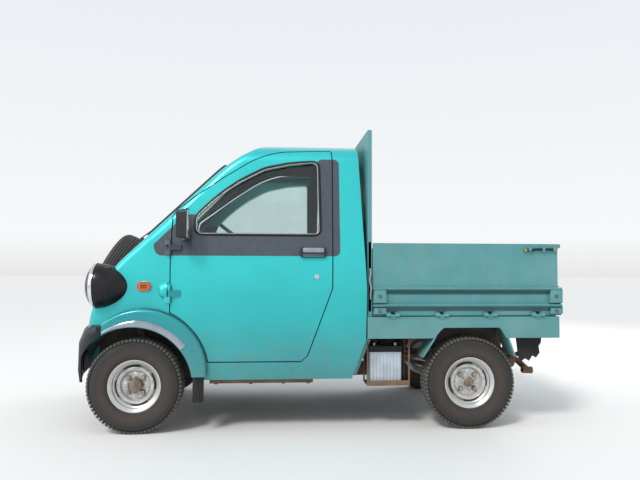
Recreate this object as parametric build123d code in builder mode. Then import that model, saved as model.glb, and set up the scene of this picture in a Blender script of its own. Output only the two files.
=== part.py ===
from build123d import *
from math import cos, radians, sin, sqrt, tan
import os

os.makedirs("parts", exist_ok=True)

# A one-box micro kei pickup: forward is -X, its left side -Y, up +Z, in millimetres.
# The origin is on the ground in the middle of the overall length.

# Overall sizes
overall_length = 2790
wheelbase = 1840
front_overhang = 402
track = 1080

# Clearances
gap = 6                  # shut lines between a moving panel and what surrounds it
seat = 0.3               # between pieces that touch on the real truck
pin_gap = 0.5            # at pins, spindles and barrels

# Stations along the truck, measured back from the front axle
front_axle_x = front_overhang - overall_length / 2
rear_axle_x = front_axle_x + wheelbase

# Wheels
tyre_radius = 254
tyre_width = 140
tyre_shoulder = 26
bead_radius = 127
flange_radius = 141
rim_width = 112
rim_wall = 5
well_radius = 106
nut_circle = 55
disc_face = 24           # the disc's ring stands outboard of the wheel's middle
disc_back = disc_face - 20   # and this is the back of its nave
spindle_radius = 14
axle_z = tyre_radius
wheel_y = track / 2
spindle_end = wheel_y + 8

# Cab form
cab_wall = 42            # a whole door or side wall, skin to trim
glass_inset = 14         # from the skin to the outer face of the glass
glass_thick = 5
corner_radius = 46       # windscreen pillars and nose corners
bow_radius = 2000        # plan curve of the nose and windscreen, about an axis behind the cab
bow_half_arc = 60
sill_z = 285
sill_y = 600
crease_z = 778
crease_y = 635
belt_z = 990
belt_y = 612
gutter_z = 1490
gutter_y = 524
roof_edge_y = 440
roof_edge_z = 1584
roof_z = 1648
taper_x = 540            # the sides draw in ahead of this, from the front axle
taper_y = 640
nose_x = -330
cab_rear_x = 1255

# Front wheel arch and its flare
arch_x = -5
arch_z = 255
arch_radius = 322
flare_x = 46
flare_z = 330
flare_radius = 342
flare_y = 647
flare_round = 20
leg_z = 309
liner_wall = 8

# Chassis frame
rail_y = 270
rail_width = 55
rail_bottom_z = 250
rear_rail_top_z = 560
rear_rail_height = 60

# Cab floor, resting on the frame's rails
floor_sheet = 18
foot_z = 345
seat_box_z = 606
seat_box_x = 640
shelf_z = arch_z + arch_radius + floor_sheet
rail_top_z = foot_z - floor_sheet - seat
arch_inner_y = rail_y + rail_width / 2 + seat + liner_wall

# Doors
door_drop = 8            # taper of the shut faces, degrees
door_face_y = flare_y + 40
door_root_y = 425
hinge_x = 185
hinge_y = 632
hinge_radius = 7

# Bed
barrel_radius = 6
tail_reach = 36          # from the bed's rear edge to the tailgate's hinge
tail_hinge_x = overall_length - front_overhang - barrel_radius
bed_front_x = 1259
bed_rear_x = tail_hinge_x - tail_reach
floor_top_z = 640
floor_thick = 16
ledge = 8
skirt_top_z = floor_top_z - floor_thick
skirt_head_z = skirt_top_z - ledge - seat
skirt_bottom_z = 508
skirt_y = 630
skirt_thick = 10
guard_x = 1262
guard_y = 612
guard_thick = 23
guard_top_z = 1663

# Drop gates round the bed
gate_inner_y = 590
gate_plate_y = 606
gate_rib_y = 628
gate_foot_z = skirt_top_z + gap
gate_hinge_z = 632
gate_hinge_y = 637
gate_hinge_front_x = 1400
gate_hinge_pitch = (bed_rear_x - 124 - gate_hinge_front_x) / 3
gate_hinges_x = [gate_hinge_front_x + i * gate_hinge_pitch for i in range(4)]
board_top_z = 1032
barrel_length = 24
tail_hinges_y = (-420, 0, 420)


def fx(x):
    """Station x behind the front axle, as an x of the truck."""
    return front_axle_x + x


def mirrored(part):
    """The piece for the other side of the truck."""
    return part.mirror(Plane.XZ)


def cab_form(d, radius=0.0):
    """The cab's smooth outer form, drawn in by d; d is 0 at the paint."""
    axis_x = fx(bow_radius)
    arc = radians(bow_half_arc)
    bow_plane = Plane(origin=(axis_x, 0, 0), x_dir=(cos(arc), -sin(arc), 0), z_dir=(-sin(arc), -cos(arc), 0))
    slant = 0.75 * d      # a slanting face moves less along each axis
    with BuildPart() as form:
        # front view: sill, waist crease, tumblehome and crowned roof
        with BuildSketch(Plane.YZ.offset(fx(nose_x - 200))):
            with BuildLine():
                Line((0, sill_z - 40), (sill_y - d, sill_z - 40))
                Line((sill_y - d, sill_z - 40), (sill_y - d, sill_z))
                ThreePointArc((sill_y - d, sill_z), (crease_y - d - 8, (sill_z + crease_z) / 2 + 8),
                              (crease_y - d, crease_z))
                ThreePointArc((crease_y - d, crease_z), ((crease_y + belt_y) / 2 - d + 2.5, (crease_z + belt_z) / 2),
                              (belt_y - d, belt_z))
                Line((belt_y - d, belt_z), (gutter_y - d, gutter_z))
                TangentArc((gutter_y - d, gutter_z), (roof_edge_y - 0.8 * d, roof_edge_z - d),
                           tangent=(gutter_y - belt_y, gutter_z - belt_z))
                TangentArc((0, roof_z - d), (roof_edge_y - 0.8 * d, roof_edge_z - d), tangent=(1, 0))
                Line((0, roof_z - d), (0, sill_z - 40))
            make_face()
            mirror(about=Plane.YZ)
        extrude(amount=cab_rear_x - nose_x + 500)
        # plan view: the sides draw in towards the nose
        with BuildSketch(Plane.XY.offset(sill_z - 80)):
            side = taper_y - d
            with BuildLine():
                Line((fx(taper_x), -side), (fx(cab_rear_x + 200), -side))
                Line((fx(cab_rear_x + 200), -side), (fx(cab_rear_x + 200), side))
                Line((fx(cab_rear_x + 200), side), (fx(taper_x), side))
                ThreePointArc((fx(taper_x), side), (fx(0), side - 50), (fx(nose_x - 70), side - 152))
                Line((fx(nose_x - 70), side - 152), (fx(nose_x - 70), 152 - side))
                ThreePointArc((fx(nose_x - 70), 152 - side), (fx(0), 50 - side), (fx(taper_x), -side))
            make_face()
        extrude(amount=roof_z - sill_z + 200, mode=Mode.INTERSECT)
        # side view of the back wall
        back = (
            (cab_rear_x - 90, sill_z - 40),
            (cab_rear_x - 78, sill_z + 3),
            (cab_rear_x - 4, 498),
            (cab_rear_x, crease_z + 6),
            (cab_rear_x - 18, 1160),
            (cab_rear_x - 36, 1565),
            (cab_rear_x - 46, roof_z + 60),
        )
        with BuildSketch(Plane.XZ.offset(-taper_y)):
            with BuildLine():
                Polyline((fx(nose_x - 300), sill_z - 40), *[(fx(x - d), z) for x, z in back],
                         (fx(nose_x - 300), roof_z + 60), close=True)
            make_face()
        extrude(amount=2 * taper_y, mode=Mode.INTERSECT)
        # nose, windscreen and header, turned about the far axis so that they bow in plan
        with BuildSketch(bow_plane):
            foot = (nose_x + d - bow_radius, sill_z - 90)
            chin = (nose_x + 4 + d - bow_radius, 560)
            cowl = (nose_x + 193 + slant - bow_radius, 956 - 0.65 * d)
            brow = (nose_x + 675 + slant - bow_radius, 1424 - slant)
            crown = (nose_x + 1230 - bow_radius, roof_z + 4 - d)
            far = cab_rear_x + 200 - bow_radius
            with BuildLine():
                Line(foot, chin)
                TangentArc(cowl, chin, tangent=(cowl[0] - brow[0], cowl[1] - brow[1]))
                Line(cowl, brow)
                TangentArc(brow, crown, tangent=(brow[0] - cowl[0], brow[1] - cowl[1]))
                Line(crown, (far, crown[1]))
                Line((far, crown[1]), (far, foot[1]))
                Line((far, foot[1]), foot)
            make_face()
        revolve(axis=Axis((axis_x, 0, 0), (0, 0, 1)), revolution_arc=2 * bow_half_arc, mode=Mode.INTERSECT)
        if radius:
            bowed = form.faces().filter_by(lambda f: abs(f.center().Y) < 1 and f.geom_type != GeomType.PLANE)
            corners = [e for f in bowed for e in f.edges() if abs(e.center().Y) > roof_edge_y]
            fillet(corners, radius=radius)
    return form.part


def door_outline(grow):
    """The door's edge in the side view, drawn outboard of the skin; grow opens it evenly all round."""
    low = (door_face_y - belt_y - 8) * tan(radians(door_drop))      # what the taper takes off at the waist
    high = (door_face_y - gutter_y + 60) * tan(radians(door_drop))  # and at the roof
    arc_radius = flare_radius + gap + 3 - grow - low
    bottom_z = 384 - grow - low
    front_x = 189 - grow - low
    arc_foot_x = flare_x + sqrt(arc_radius**2 - (bottom_z - flare_z) ** 2)
    with BuildSketch() as outline:
        with BuildLine():
            top = (
                (front_x, 1168 + low), (front_x + 14, 1200 + grow + 2 * low), (442, 1378 + grow + 0.8 * high),
                (547, 1446 + grow + 0.85 * high),
            )
            Line((front_x, flare_z + sqrt(arc_radius**2 - (front_x - flare_x) ** 2)), top[0])
            Polyline(*top)
            ThreePointArc(top[-1], (661, 1508 + grow + 0.9 * high), (790, 1545 + grow + high))
            Line((790, 1545 + grow + high), (1035 + grow + high, 1560 + grow + high))
            Polyline((1035 + grow + high, 1560 + grow + high), (1062 + grow + high, 1535 + high),
                     (1060 + grow + low, 780), (926 + grow + low, 408), (900, bottom_z), (arc_foot_x, bottom_z))
            mid = radians(36)
            ThreePointArc(
                (arc_foot_x, bottom_z),
                (flare_x + arc_radius * cos(mid), flare_z + arc_radius * sin(mid)),
                (front_x, flare_z + sqrt(arc_radius**2 - (front_x - flare_x) ** 2)),
            )
        make_face()
    return outline.sketch


def window_outline(grow):
    """The glass opening of the door in the side view."""
    with BuildSketch() as outline:
        with BuildLine():
            Polyline((325 - grow, 1080 - grow), (320 - grow, 1172), (411, 1262 + grow), (479, 1318 + grow),
                     (562, 1374 + grow), (690, 1442 + grow), (831, 1474 + grow), (985 + grow, 1488 + grow),
                     (992 + grow, 1080 - grow), close=True)
        make_face()
        fillet(outline.vertices().sort_by(Axis.X)[-2:], radius=28)
    return outline.sketch


def side_prism(sketch, taper=0.0):
    """A side view outline pushed in from the left, past the side wall."""
    with BuildPart() as prism:
        with BuildSketch(Plane.XZ.offset(door_face_y)):
            with Locations((front_axle_x, 0)):
                add(sketch)
        extrude(amount=-(door_face_y - door_root_y), taper=taper)
    return prism.part


cab_outer = cab_form(0, corner_radius)
cab_inner = cab_form(cab_wall)
glass_outer = cab_form(glass_inset)
glass_inner = cab_form(glass_inset + glass_thick)
cab_clear = cab_form(-seat)
floor_limit = cab_form(cab_wall + seat)

# Nose bowl and spare wheel, leaning back on the nose
spare_x = -239
spare_z = 855
spare_tilt = 26
spare_back = tyre_width / 2 + 6
bowl_radius = tyre_radius + 18
bowl_wall = 12
spare_boss_radius = 58   # the boss that carries the spare wheel's disc
spare_plane = Plane(origin=(fx(spare_x), 0, spare_z), x_dir=(0, 1, 0),
                    z_dir=(-cos(radians(spare_tilt)), 0, sin(radians(spare_tilt))))

with BuildPart() as cab_room:
    add(cab_inner)
    with BuildSketch(spare_plane.offset(-spare_back - bowl_wall)):
        Circle(bowl_radius + bowl_wall)
    extrude(amount=400, mode=Mode.SUBTRACT)

# Windscreen and back window openings, seen from the front
screen_bottom_z = 1082
screen_top_z = 1478
screen_bottom_y = 500
screen_top_y = 428
rear_window_z = (1150, 1430)
rear_window_y = 400


def screen_prism(shrink):
    with BuildPart() as prism:
        with BuildSketch(Plane.YZ.offset(fx(nose_x - 100))) as outline:
            with BuildLine():
                Polyline((-screen_bottom_y + shrink, screen_bottom_z + shrink),
                         (screen_bottom_y - shrink, screen_bottom_z + shrink),
                         (screen_top_y - shrink, screen_top_z - shrink),
                         (-screen_top_y + shrink, screen_top_z - shrink), close=True)
            make_face()
            fillet(outline.vertices(), radius=45)
        extrude(amount=800 - nose_x)
    return prism.part


def rear_window_prism(shrink):
    low, high = rear_window_z
    with BuildPart() as prism:
        with BuildSketch(Plane.YZ.offset(fx(cab_rear_x - 140))):
            with Locations((0, (low + high) / 2)):
                RectangleRounded(2 * (rear_window_y - shrink), high - low - 2 * shrink, 40)
        extrude(amount=300)
    return prism.part


door_cut = side_prism(door_outline(gap), door_drop)
screen_cut = screen_prism(0)
rear_window_cut = rear_window_prism(0)

# Cab shell: nose, pillars, roof, back wall and sills in one welded piece
bay_y = 520
bulge_x = 172
bulge_y = 575
bulge_z = 768
bulge_radius = 62
hinges = (
    # middle height, height of the whole hinge
    (753, 100),
    (1001, 82),
)
with BuildPart() as bulges:
    with Locations((fx(bulge_x), -bulge_y, bulge_z), (fx(bulge_x), bulge_y, bulge_z)):
        Sphere(bulge_radius)
    split(bisect_by=Plane.YZ.offset(fx(bulge_x)), keep=Keep.BOTTOM)
with BuildPart() as cab_shell:
    add(cab_outer)
    add(bulges.part)
    add(cab_room.part, mode=Mode.SUBTRACT)
    # engine bay open below the seat box at the back
    with BuildSketch(Plane.YZ.offset(fx(cab_rear_x - 150))):
        with Locations((0, seat_box_z - floor_sheet)):
            Rectangle(2 * bay_y, 400, align=(Align.CENTER, Align.MAX))
    extrude(amount=200, mode=Mode.SUBTRACT)
    with BuildSketch(Plane.XY.offset(sill_z - 100)):
        with Locations((0, 0)):
            Rectangle(4000, 2000)
    extrude(amount=100, mode=Mode.SUBTRACT)
    with BuildSketch(spare_plane.offset(-spare_back)):
        Circle(bowl_radius)
    extrude(amount=500, mode=Mode.SUBTRACT)
    with BuildSketch(spare_plane.offset(-spare_back)):
        Circle(spare_boss_radius)
    extrude(amount=spare_back + disc_back - seat)
    with BuildSketch(Plane.XZ.offset(flare_y + 60)):
        with Locations((fx(arch_x), arch_z)):
            Circle(arch_radius)
    extrude(amount=-(flare_y + 60 - arch_inner_y + liner_wall), mode=Mode.SUBTRACT)
    with BuildSketch(Plane.XZ.offset(-flare_y - 60)):
        with Locations((fx(arch_x), arch_z)):
            Circle(arch_radius)
    extrude(amount=flare_y + 60 - arch_inner_y + liner_wall, mode=Mode.SUBTRACT)
    add(door_cut, mode=Mode.SUBTRACT)
    add(mirrored(door_cut), mode=Mode.SUBTRACT)
    add(screen_cut, mode=Mode.SUBTRACT)
    add(rear_window_cut, mode=Mode.SUBTRACT)
    # fixed knuckles above and below each door knuckle
    for side in (-1, 1):
        for middle_z, height in hinges:
            for end in (-1, 1):
                with BuildSketch(Plane.XY.offset(middle_z + end * (height / 6 + pin_gap))):
                    with Locations((fx(hinge_x), side * hinge_y)):
                        Circle(hinge_radius)
                    with BuildLine():
                        Polyline((fx(hinge_x), side * (hinge_y + hinge_radius)), (fx(hinge_x - 28), side * (hinge_y - 8)),
                                 (fx(hinge_x - 28), side * (hinge_y - 40)), (fx(hinge_x - 8), side * (hinge_y - 40)),
                                 (fx(hinge_x - 8), side * (hinge_y - 12)), (fx(hinge_x), side * (hinge_y - hinge_radius)),
                                 close=True)
                    make_face()
                extrude(amount=end * (height / 3 - pin_gap))
cab_shell.part.label = "cab_shell"
export_step(cab_shell.part, "parts/cab_shell.step")

# Fixed glass: windscreen and back window
with BuildPart() as screens:
    add(glass_outer)
    add(glass_inner, mode=Mode.SUBTRACT)
    add(screen_prism(seat) + rear_window_prism(seat), mode=Mode.INTERSECT)
screens.part.label = "cab_glass"
export_step(screens.part, "parts/cab_glass.step")

# Doors with their glass
door_prism = side_prism(door_outline(0), door_drop)
window_cut = side_prism(window_outline(0))
window_fit = side_prism(window_outline(-seat))
with BuildPart() as door_left:
    add(cab_outer)
    add(cab_inner, mode=Mode.SUBTRACT)
    add(door_prism, mode=Mode.INTERSECT)
    add(window_cut, mode=Mode.SUBTRACT)
with BuildPart() as door_glass:
    add(glass_outer)
    add(glass_inner, mode=Mode.SUBTRACT)
    add(window_fit, mode=Mode.INTERSECT)

for name, skin, glass in (("left", door_left.part, door_glass.part),
                          ("right", mirrored(door_left.part), mirrored(door_glass.part))):
    skin.label = f"door_{name}"
    export_step(skin, f"parts/door_{name}.step")
    glass.label = f"door_{name}_glass"
    export_step(glass, f"parts/door_{name}_glass.step")

# Door fittings: mirror on its arm, outside handle and the hinge knuckles
mirror_x = 262
mirror_y = 702
mirror_z = 1123
mirror_width = 116
mirror_height = 168
mirror_depth = 58
arm_z = 1058
handle_x = 960
handle_z = 978
handle_length = 148
handle_height = 56
handle_proud = 16
with BuildPart() as handle:
    with BuildSketch(Plane.XZ.offset(belt_y - 60)):
        with Locations((fx(handle_x), handle_z)):
            RectangleRounded(handle_length, handle_height, 18)
    extrude(amount=100)
    add(cab_form(-handle_proud), mode=Mode.INTERSECT)
    add(cab_clear, mode=Mode.SUBTRACT)
with BuildPart() as arm:
    with BuildSketch(Plane.XZ.offset(belt_y - 60)):
        with Locations((fx(mirror_x), arm_z)):
            Circle(11)
    extrude(amount=mirror_y - belt_y + 60)
    with BuildSketch(Plane.XZ.offset(belt_y - 60)):
        with Locations((fx(mirror_x), arm_z)):
            Circle(24)
    extrude(amount=60)
    add(cab_clear, mode=Mode.SUBTRACT)
    with BuildSketch(Plane.XY.offset(arm_z - 11)):
        with Locations((fx(mirror_x), -mirror_y + 8)):
            Circle(11)
    extrude(amount=mirror_z - arm_z)
    # head, its glass facing the driver
    with BuildSketch(Plane.YZ.offset(fx(mirror_x + mirror_depth / 2))) as head:
        with Locations((-mirror_y, mirror_z)):
            RectangleRounded(mirror_width, mirror_height, 26)
    extrude(amount=-mirror_depth, taper=14)
with BuildPart() as knuckles:
    for middle_z, height in hinges:
        with BuildSketch(Plane.XY.offset(middle_z - height / 6)):
            with Locations((fx(hinge_x), -hinge_y)):
                Circle(hinge_radius)
            with BuildLine():
                Polyline((fx(hinge_x), -hinge_y - hinge_radius), (fx(hinge_x + 60), -hinge_y + 4),
                         (fx(hinge_x + 60), -hinge_y + 60), (fx(hinge_x + 10), -hinge_y + 60),
                         (fx(hinge_x + 10), -hinge_y + 8), (fx(hinge_x), -hinge_y + hinge_radius), close=True)
            make_face()
        extrude(amount=height / 3)
    add(cab_clear, mode=Mode.SUBTRACT)
fittings_left = Compound([*handle.part.solids(), *arm.part.solids(), *knuckles.part.solids()])
for name, fittings in (("left", fittings_left), ("right", mirrored(fittings_left))):
    fittings.label = f"door_{name}_fittings"
    export_step(fittings, f"parts/door_{name}_fittings.step")

# Room round the doors' inner panels, kept clear of the floor and dashboard
with BuildPart() as door_margin:
    add(door_cut)
    add(cab_form(cab_wall + gap), mode=Mode.SUBTRACT)

# Floor pan: shelf over the wheels, toe board, foot well, seat box and its back, one pressed sheet
with BuildPart() as cab_floor:
    with BuildSketch(Plane.XZ.offset(-taper_y)):
        with BuildLine():
            upper = (
                (nose_x - 20, shelf_z), (352, shelf_z), (372, foot_z), (seat_box_x, foot_z),
                (seat_box_x, seat_box_z), (cab_rear_x + 40, seat_box_z),
            )
            lower = (
                (cab_rear_x + 40, seat_box_z - floor_sheet), (seat_box_x + floor_sheet, seat_box_z - floor_sheet),
                (seat_box_x + floor_sheet, foot_z - floor_sheet), (355, foot_z - floor_sheet),
                (335, shelf_z - floor_sheet), (nose_x - 20, shelf_z - floor_sheet),
            )
            Polyline(*[(fx(x), z) for x, z in upper + lower], close=True)
        make_face()
    extrude(amount=2 * taper_y)
    # round wheel houses under the shelf
    for side in (-1, 1):
        with BuildSketch(Plane.XZ.offset(side * arch_inner_y)):
            with Locations((fx(arch_x), arch_z)):
                Circle(arch_radius + liner_wall)
                Circle(arch_radius, mode=Mode.SUBTRACT)
        extrude(amount=side * (taper_y - arch_inner_y))
        with BuildSketch(Plane.XZ.offset(side * arch_inner_y)):
            with Locations((fx(arch_x), arch_z)):
                Circle(arch_radius + liner_wall)
        extrude(amount=-side * liner_wall)
    with BuildSketch(Plane.XY.offset(sill_z)):
        Rectangle(6000, 3000)
    extrude(amount=-600, mode=Mode.SUBTRACT)
    add(floor_limit, mode=Mode.INTERSECT)
    with BuildSketch(spare_plane.offset(-spare_back - bowl_wall - seat)):
        Circle(bowl_radius + bowl_wall + seat)
    extrude(amount=400, mode=Mode.SUBTRACT)
    add(door_margin.part, mode=Mode.SUBTRACT)
    add(mirrored(door_margin.part), mode=Mode.SUBTRACT)
cab_floor.part.label = "cab_floor"
export_step(cab_floor.part, "parts/cab_floor.step")

# Front fender flares, standing proud round the wheel from bumper to sill
bumper_seam_x = -165
with BuildPart() as flare:
    with BuildSketch(Plane.XZ.offset(540)) as crescent:
        with Locations((fx(flare_x), flare_z)):
            Circle(flare_radius)
        with Locations((fx(arch_x), arch_z)):
            Circle(arch_radius - 2, mode=Mode.SUBTRACT)
        with Locations((fx(bumper_seam_x), leg_z)):
            Rectangle(700, 700, align=(Align.MIN, Align.MIN), mode=Mode.INTERSECT)
    extrude(amount=flare_y - 540)
    fillet(flare.faces().sort_by(Axis.Y)[0].edges().filter_by(GeomType.CIRCLE).sort_by(Axis.Z)[-1:], radius=flare_round)
    add(cab_clear, mode=Mode.SUBTRACT)
with BuildPart() as fenders:
    add(flare.part.solids().sort_by(SortBy.VOLUME)[-1])
    mirror(about=Plane.XZ)
fenders.part.label = "front_fenders"
export_step(fenders.part, "parts/front_fenders.step")

# Front bumper: a moulded bow lofted through plan outlines
bumper_sections = (
    # height, front at the middle, front at the corner, half width
    (272, -392, -298, 588),
    (330, -402, -306, 610),
    (473, -400, -303, 634),
    (540, -376, -275, 642),
    (578, -330, -236, 642),
)
bumper_corner_y = 555
bumper_wall = 14


def bumper_form(inset):
    with BuildPart() as form:
        for height, front, corner, half_width in bumper_sections:
            with BuildSketch(Plane.XY.offset(height - inset)):
                with BuildLine():
                    y_corner = bumper_corner_y - inset
                    y_side = half_width - inset
                    ThreePointArc((fx(corner + inset), -y_corner), (fx(front + inset), 0),
                                  (fx(corner + inset), y_corner))
                    ThreePointArc((fx(corner + inset), y_corner), (fx(corner + inset + 42), y_side - 26),
                                  (fx(bumper_seam_x - 30), y_side))
                    Line((fx(bumper_seam_x - 30), y_side), (fx(bumper_seam_x - gap / 2), y_side))
                    Line((fx(bumper_seam_x - gap / 2), y_side), (fx(bumper_seam_x - gap / 2), -y_side))
                    Line((fx(bumper_seam_x - gap / 2), -y_side), (fx(bumper_seam_x - 30), -y_side))
                    ThreePointArc((fx(bumper_seam_x - 30), -y_side), (fx(corner + inset + 42), 26 - y_side),
                                  (fx(corner + inset), -y_corner))
                make_face()
        loft(ruled=True)
    return form.part


bumper_skin = bumper_form(0)
bumper_hollow = bumper_form(bumper_wall)
with BuildPart() as bumper:
    add(bumper_skin)
    add(bumper_hollow, mode=Mode.SUBTRACT)
    for side in (-1, 1):
        with BuildSketch(Plane.XZ.offset(side * arch_inner_y)) as opening:
            with Locations((fx(arch_x), arch_z)):
                Circle(arch_radius)
            with Locations((fx(-288), 0)):
                Rectangle(900, 900, align=(Align.MIN, Align.MIN), mode=Mode.INTERSECT)
        extrude(amount=side * 400, mode=Mode.SUBTRACT)
    add(cab_clear, mode=Mode.SUBTRACT)
    with BuildSketch(spare_plane.offset(-spare_back)):
        Circle(bowl_radius)
    extrude(amount=500, mode=Mode.SUBTRACT)
    # air slots under the number plate
    with BuildSketch(Plane.YZ.offset(fx(nose_x - 110))):
        with GridLocations(0, 34, 1, 3):
            with Locations((0, 332)):
                SlotOverall(520, 16)
    extrude(amount=100, mode=Mode.SUBTRACT)
bumper_solid = bumper.part.solids().sort_by(SortBy.VOLUME)[-1]
with BuildPart() as front_bumper:
    add(bumper_solid)
front_bumper.part.label = "front_bumper"
export_step(front_bumper.part, "parts/front_bumper.step")

# Headlamps: egg shaped pods with a domed lens
lamp_y = 520
lamp_z = 790
lamp_ring_x = -213
lamp_radius = 124
lens_radius = 112
lens_depth = 52
ring_depth = 20
pod_length = 222
with BuildPart() as pod_left:
    with BuildSketch(Plane((fx(lamp_ring_x), -lamp_y, lamp_z), x_dir=(1, 0, 0), z_dir=(0, -1, 0))):
        with BuildLine():
            Line((-ring_depth, 0), (-ring_depth, lamp_radius - 6))
            Line((-ring_depth, lamp_radius - 6), (0, lamp_radius))
            ThreePointArc((0, lamp_radius), (pod_length * 0.62, lamp_radius * 0.66), (pod_length, 0))
            Line((pod_length, 0), (-ring_depth, 0))
        make_face()
    revolve(axis=Axis((fx(lamp_ring_x), -lamp_y, lamp_z), (1, 0, 0)))
    add(cab_clear, mode=Mode.SUBTRACT)
with BuildPart() as pods:
    add(pod_left.part.solids().sort_by(SortBy.VOLUME)[-1])
    mirror(about=Plane.XZ)
pods.part.label = "headlamp_pods"
export_step(pods.part, "parts/headlamp_pods.step")

with BuildPart() as lens_left:
    with BuildSketch(Plane((fx(lamp_ring_x), -lamp_y, lamp_z), x_dir=(1, 0, 0), z_dir=(0, -1, 0))):
        back_x = -ring_depth - seat
        dome_radius = (lens_radius**2 + lens_depth**2) / (2 * lens_depth)
        dome_half = lens_radius / 2
        dome_x = back_x - 6 - lens_depth + dome_radius
        with BuildLine():
            Line((back_x, 0), (back_x, lens_radius))
            Line((back_x, lens_radius), (back_x - 6, lens_radius))
            ThreePointArc((back_x - 6, lens_radius), (dome_x - sqrt(dome_radius**2 - dome_half**2), dome_half),
                          (back_x - 6 - lens_depth, 0))
            Line((back_x - 6 - lens_depth, 0), (back_x, 0))
        make_face()
    revolve(axis=Axis((fx(lamp_ring_x), -lamp_y, lamp_z), (1, 0, 0)))
    add(cab_clear, mode=Mode.SUBTRACT)
with BuildPart() as lenses:
    add(lens_left.part.solids().sort_by(SortBy.VOLUME)[-1])
    mirror(about=Plane.XZ)
lenses.part.label = "headlamp_lenses"
export_step(lenses.part, "parts/headlamp_lenses.step")

# Turn lamps: an oval repeater on each side of the nose
repeater_x = 45
repeater_z = 790
with BuildPart() as repeater_left:
    with BuildSketch(Plane.XZ.offset(560)):
        with Locations((fx(repeater_x), repeater_z)):
            SlotOverall(72, 46)
    extrude(amount=flare_y - 560)
    add(cab_form(-12), mode=Mode.INTERSECT)
    add(cab_clear, mode=Mode.SUBTRACT)
with BuildPart() as repeaters:
    add(repeater_left.part)
    mirror(about=Plane.XZ)
repeaters.part.label = "turn_lamps"
export_step(repeaters.part, "parts/turn_lamps.step")


def tyre_ring(centre_plane):
    """A whole tyre about the z axis of a plane."""
    half = tyre_width / 2
    with BuildPart() as tyre:
        with BuildSketch(Plane(centre_plane.origin, x_dir=centre_plane.x_dir, z_dir=-centre_plane.y_dir)):
            with BuildLine():
                bead_y = rim_width / 2 - 12
                bead = bead_radius + seat
                shoulder = tyre_radius - tyre_shoulder
                tread_y = half - tyre_shoulder * 0.7
                Polyline((bead, -bead_y), (shoulder, -half), (tyre_radius, -tread_y), (tyre_radius, tread_y),
                         (shoulder, half), (bead, bead_y), close=True)
            make_face()
        revolve(axis=Axis(centre_plane.origin, centre_plane.z_dir))
    return tyre.part


def rim_disc(centre_plane, bore, cap_radius=0, nuts=4):
    """A pressed steel rim with its disc; the plane's z axis points outboard."""
    drum = cap_radius > 0
    half = rim_width / 2
    bead_y = half - 12
    face = disc_face
    wall = rim_wall
    with BuildPart() as rim:
        with BuildSketch(Plane(centre_plane.origin, x_dir=centre_plane.x_dir, z_dir=-centre_plane.y_dir)):
            with BuildLine():
                outer = (
                    (flange_radius, half), (flange_radius - 4, half - 4), (bead_radius, bead_y),
                    (bead_radius - 1, 28), (well_radius, 14), (well_radius, -14), (bead_radius - 1, -28),
                    (bead_radius, -bead_y), (flange_radius - 4, -half + 4), (flange_radius, -half),
                )
                inner = (
                    (flange_radius - wall, -half), (bead_radius - wall, -bead_y), (bead_radius - 1 - wall, -28 + 2),
                    (well_radius - wall, -14 + 2), (well_radius - wall, 14 - 2),
                    (bead_radius - 1 - wall, 28 - 2), (bead_radius - wall, bead_y), (flange_radius - wall, half),
                )
                Polyline(*outer, *inner, close=True)
            make_face()
            # disc: dished nave with a raised ring round the nuts
            with BuildLine():
                disc = (
                    (bore, face - 14), (36, face - 14), (72, face - 14), (84, face + 2), (96, face + 4),
                    (well_radius - 1, 8), (well_radius - 1, 2), (94, face - 3), (88, face - 5), (76, disc_back),
                    (bore, disc_back),
                )
                Polyline(*disc, close=True)
            make_face()
            if drum:
                # hub and brake drum turning with the rim
                with Locations((bore, face - 19)):
                    Rectangle(34 - bore, 78, align=(Align.MIN, Align.MAX))
                with Locations((34, face - 19)):
                    Rectangle(58, 42, align=(Align.MIN, Align.MAX))
                # dust cap over the spindle's end
                with BuildLine():
                    cap_foot = spindle_end + 1 - wheel_y
                    Polyline((0, cap_foot + 26), (0, cap_foot), (cap_radius, cap_foot), (cap_radius, cap_foot + 18))
                    ThreePointArc((cap_radius, cap_foot + 18), (cap_radius - 4, cap_foot + 23),
                                  (cap_radius - 12, cap_foot + 26))
                    Line((cap_radius - 12, cap_foot + 26), (0, cap_foot + 26))
                make_face()
        revolve(axis=Axis(centre_plane.origin, centre_plane.z_dir))
        # hand holes between nave and rim
        with BuildSketch(centre_plane.offset(-8)):
            with PolarLocations(0, 4):
                SlotArc(CenterArc((0, 0), 91.5, -17, 34), 7)
        extrude(amount=60, mode=Mode.SUBTRACT)
        with BuildSketch(centre_plane.offset(face - 15)):
            with PolarLocations(nut_circle, nuts, start_angle=45):
                RegularPolygon(10, 6)
        extrude(amount=18)
    return rim.part


wheels = (
    # name, x, side
    ("front_left", front_axle_x, -1),
    ("front_right", front_axle_x, 1),
    ("rear_left", rear_axle_x, -1),
    ("rear_right", rear_axle_x, 1),
)
for name, wheel_x, side in wheels:
    plane = Plane(origin=(wheel_x, side * wheel_y, axle_z), x_dir=(1, 0, 0), z_dir=(0, side, 0))
    tyre = tyre_ring(plane)
    tyre.label = f"tyre_{name}"
    export_step(tyre, f"parts/tyre_{name}.step")
    rim = rim_disc(plane, spindle_radius + pin_gap, cap_radius=37 if name.startswith("front") else 30)
    rim.label = f"rim_{name}"
    export_step(rim, f"parts/rim_{name}.step")

# Spare wheel on the nose
spare_tyre = tyre_ring(spare_plane)
spare_tyre.label = "spare_tyre"
export_step(spare_tyre, "parts/spare_tyre.step")
spare_rim = rim_disc(spare_plane, 22)
spare_rim.label = "spare_rim"
export_step(spare_rim, "parts/spare_rim.step")

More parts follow.
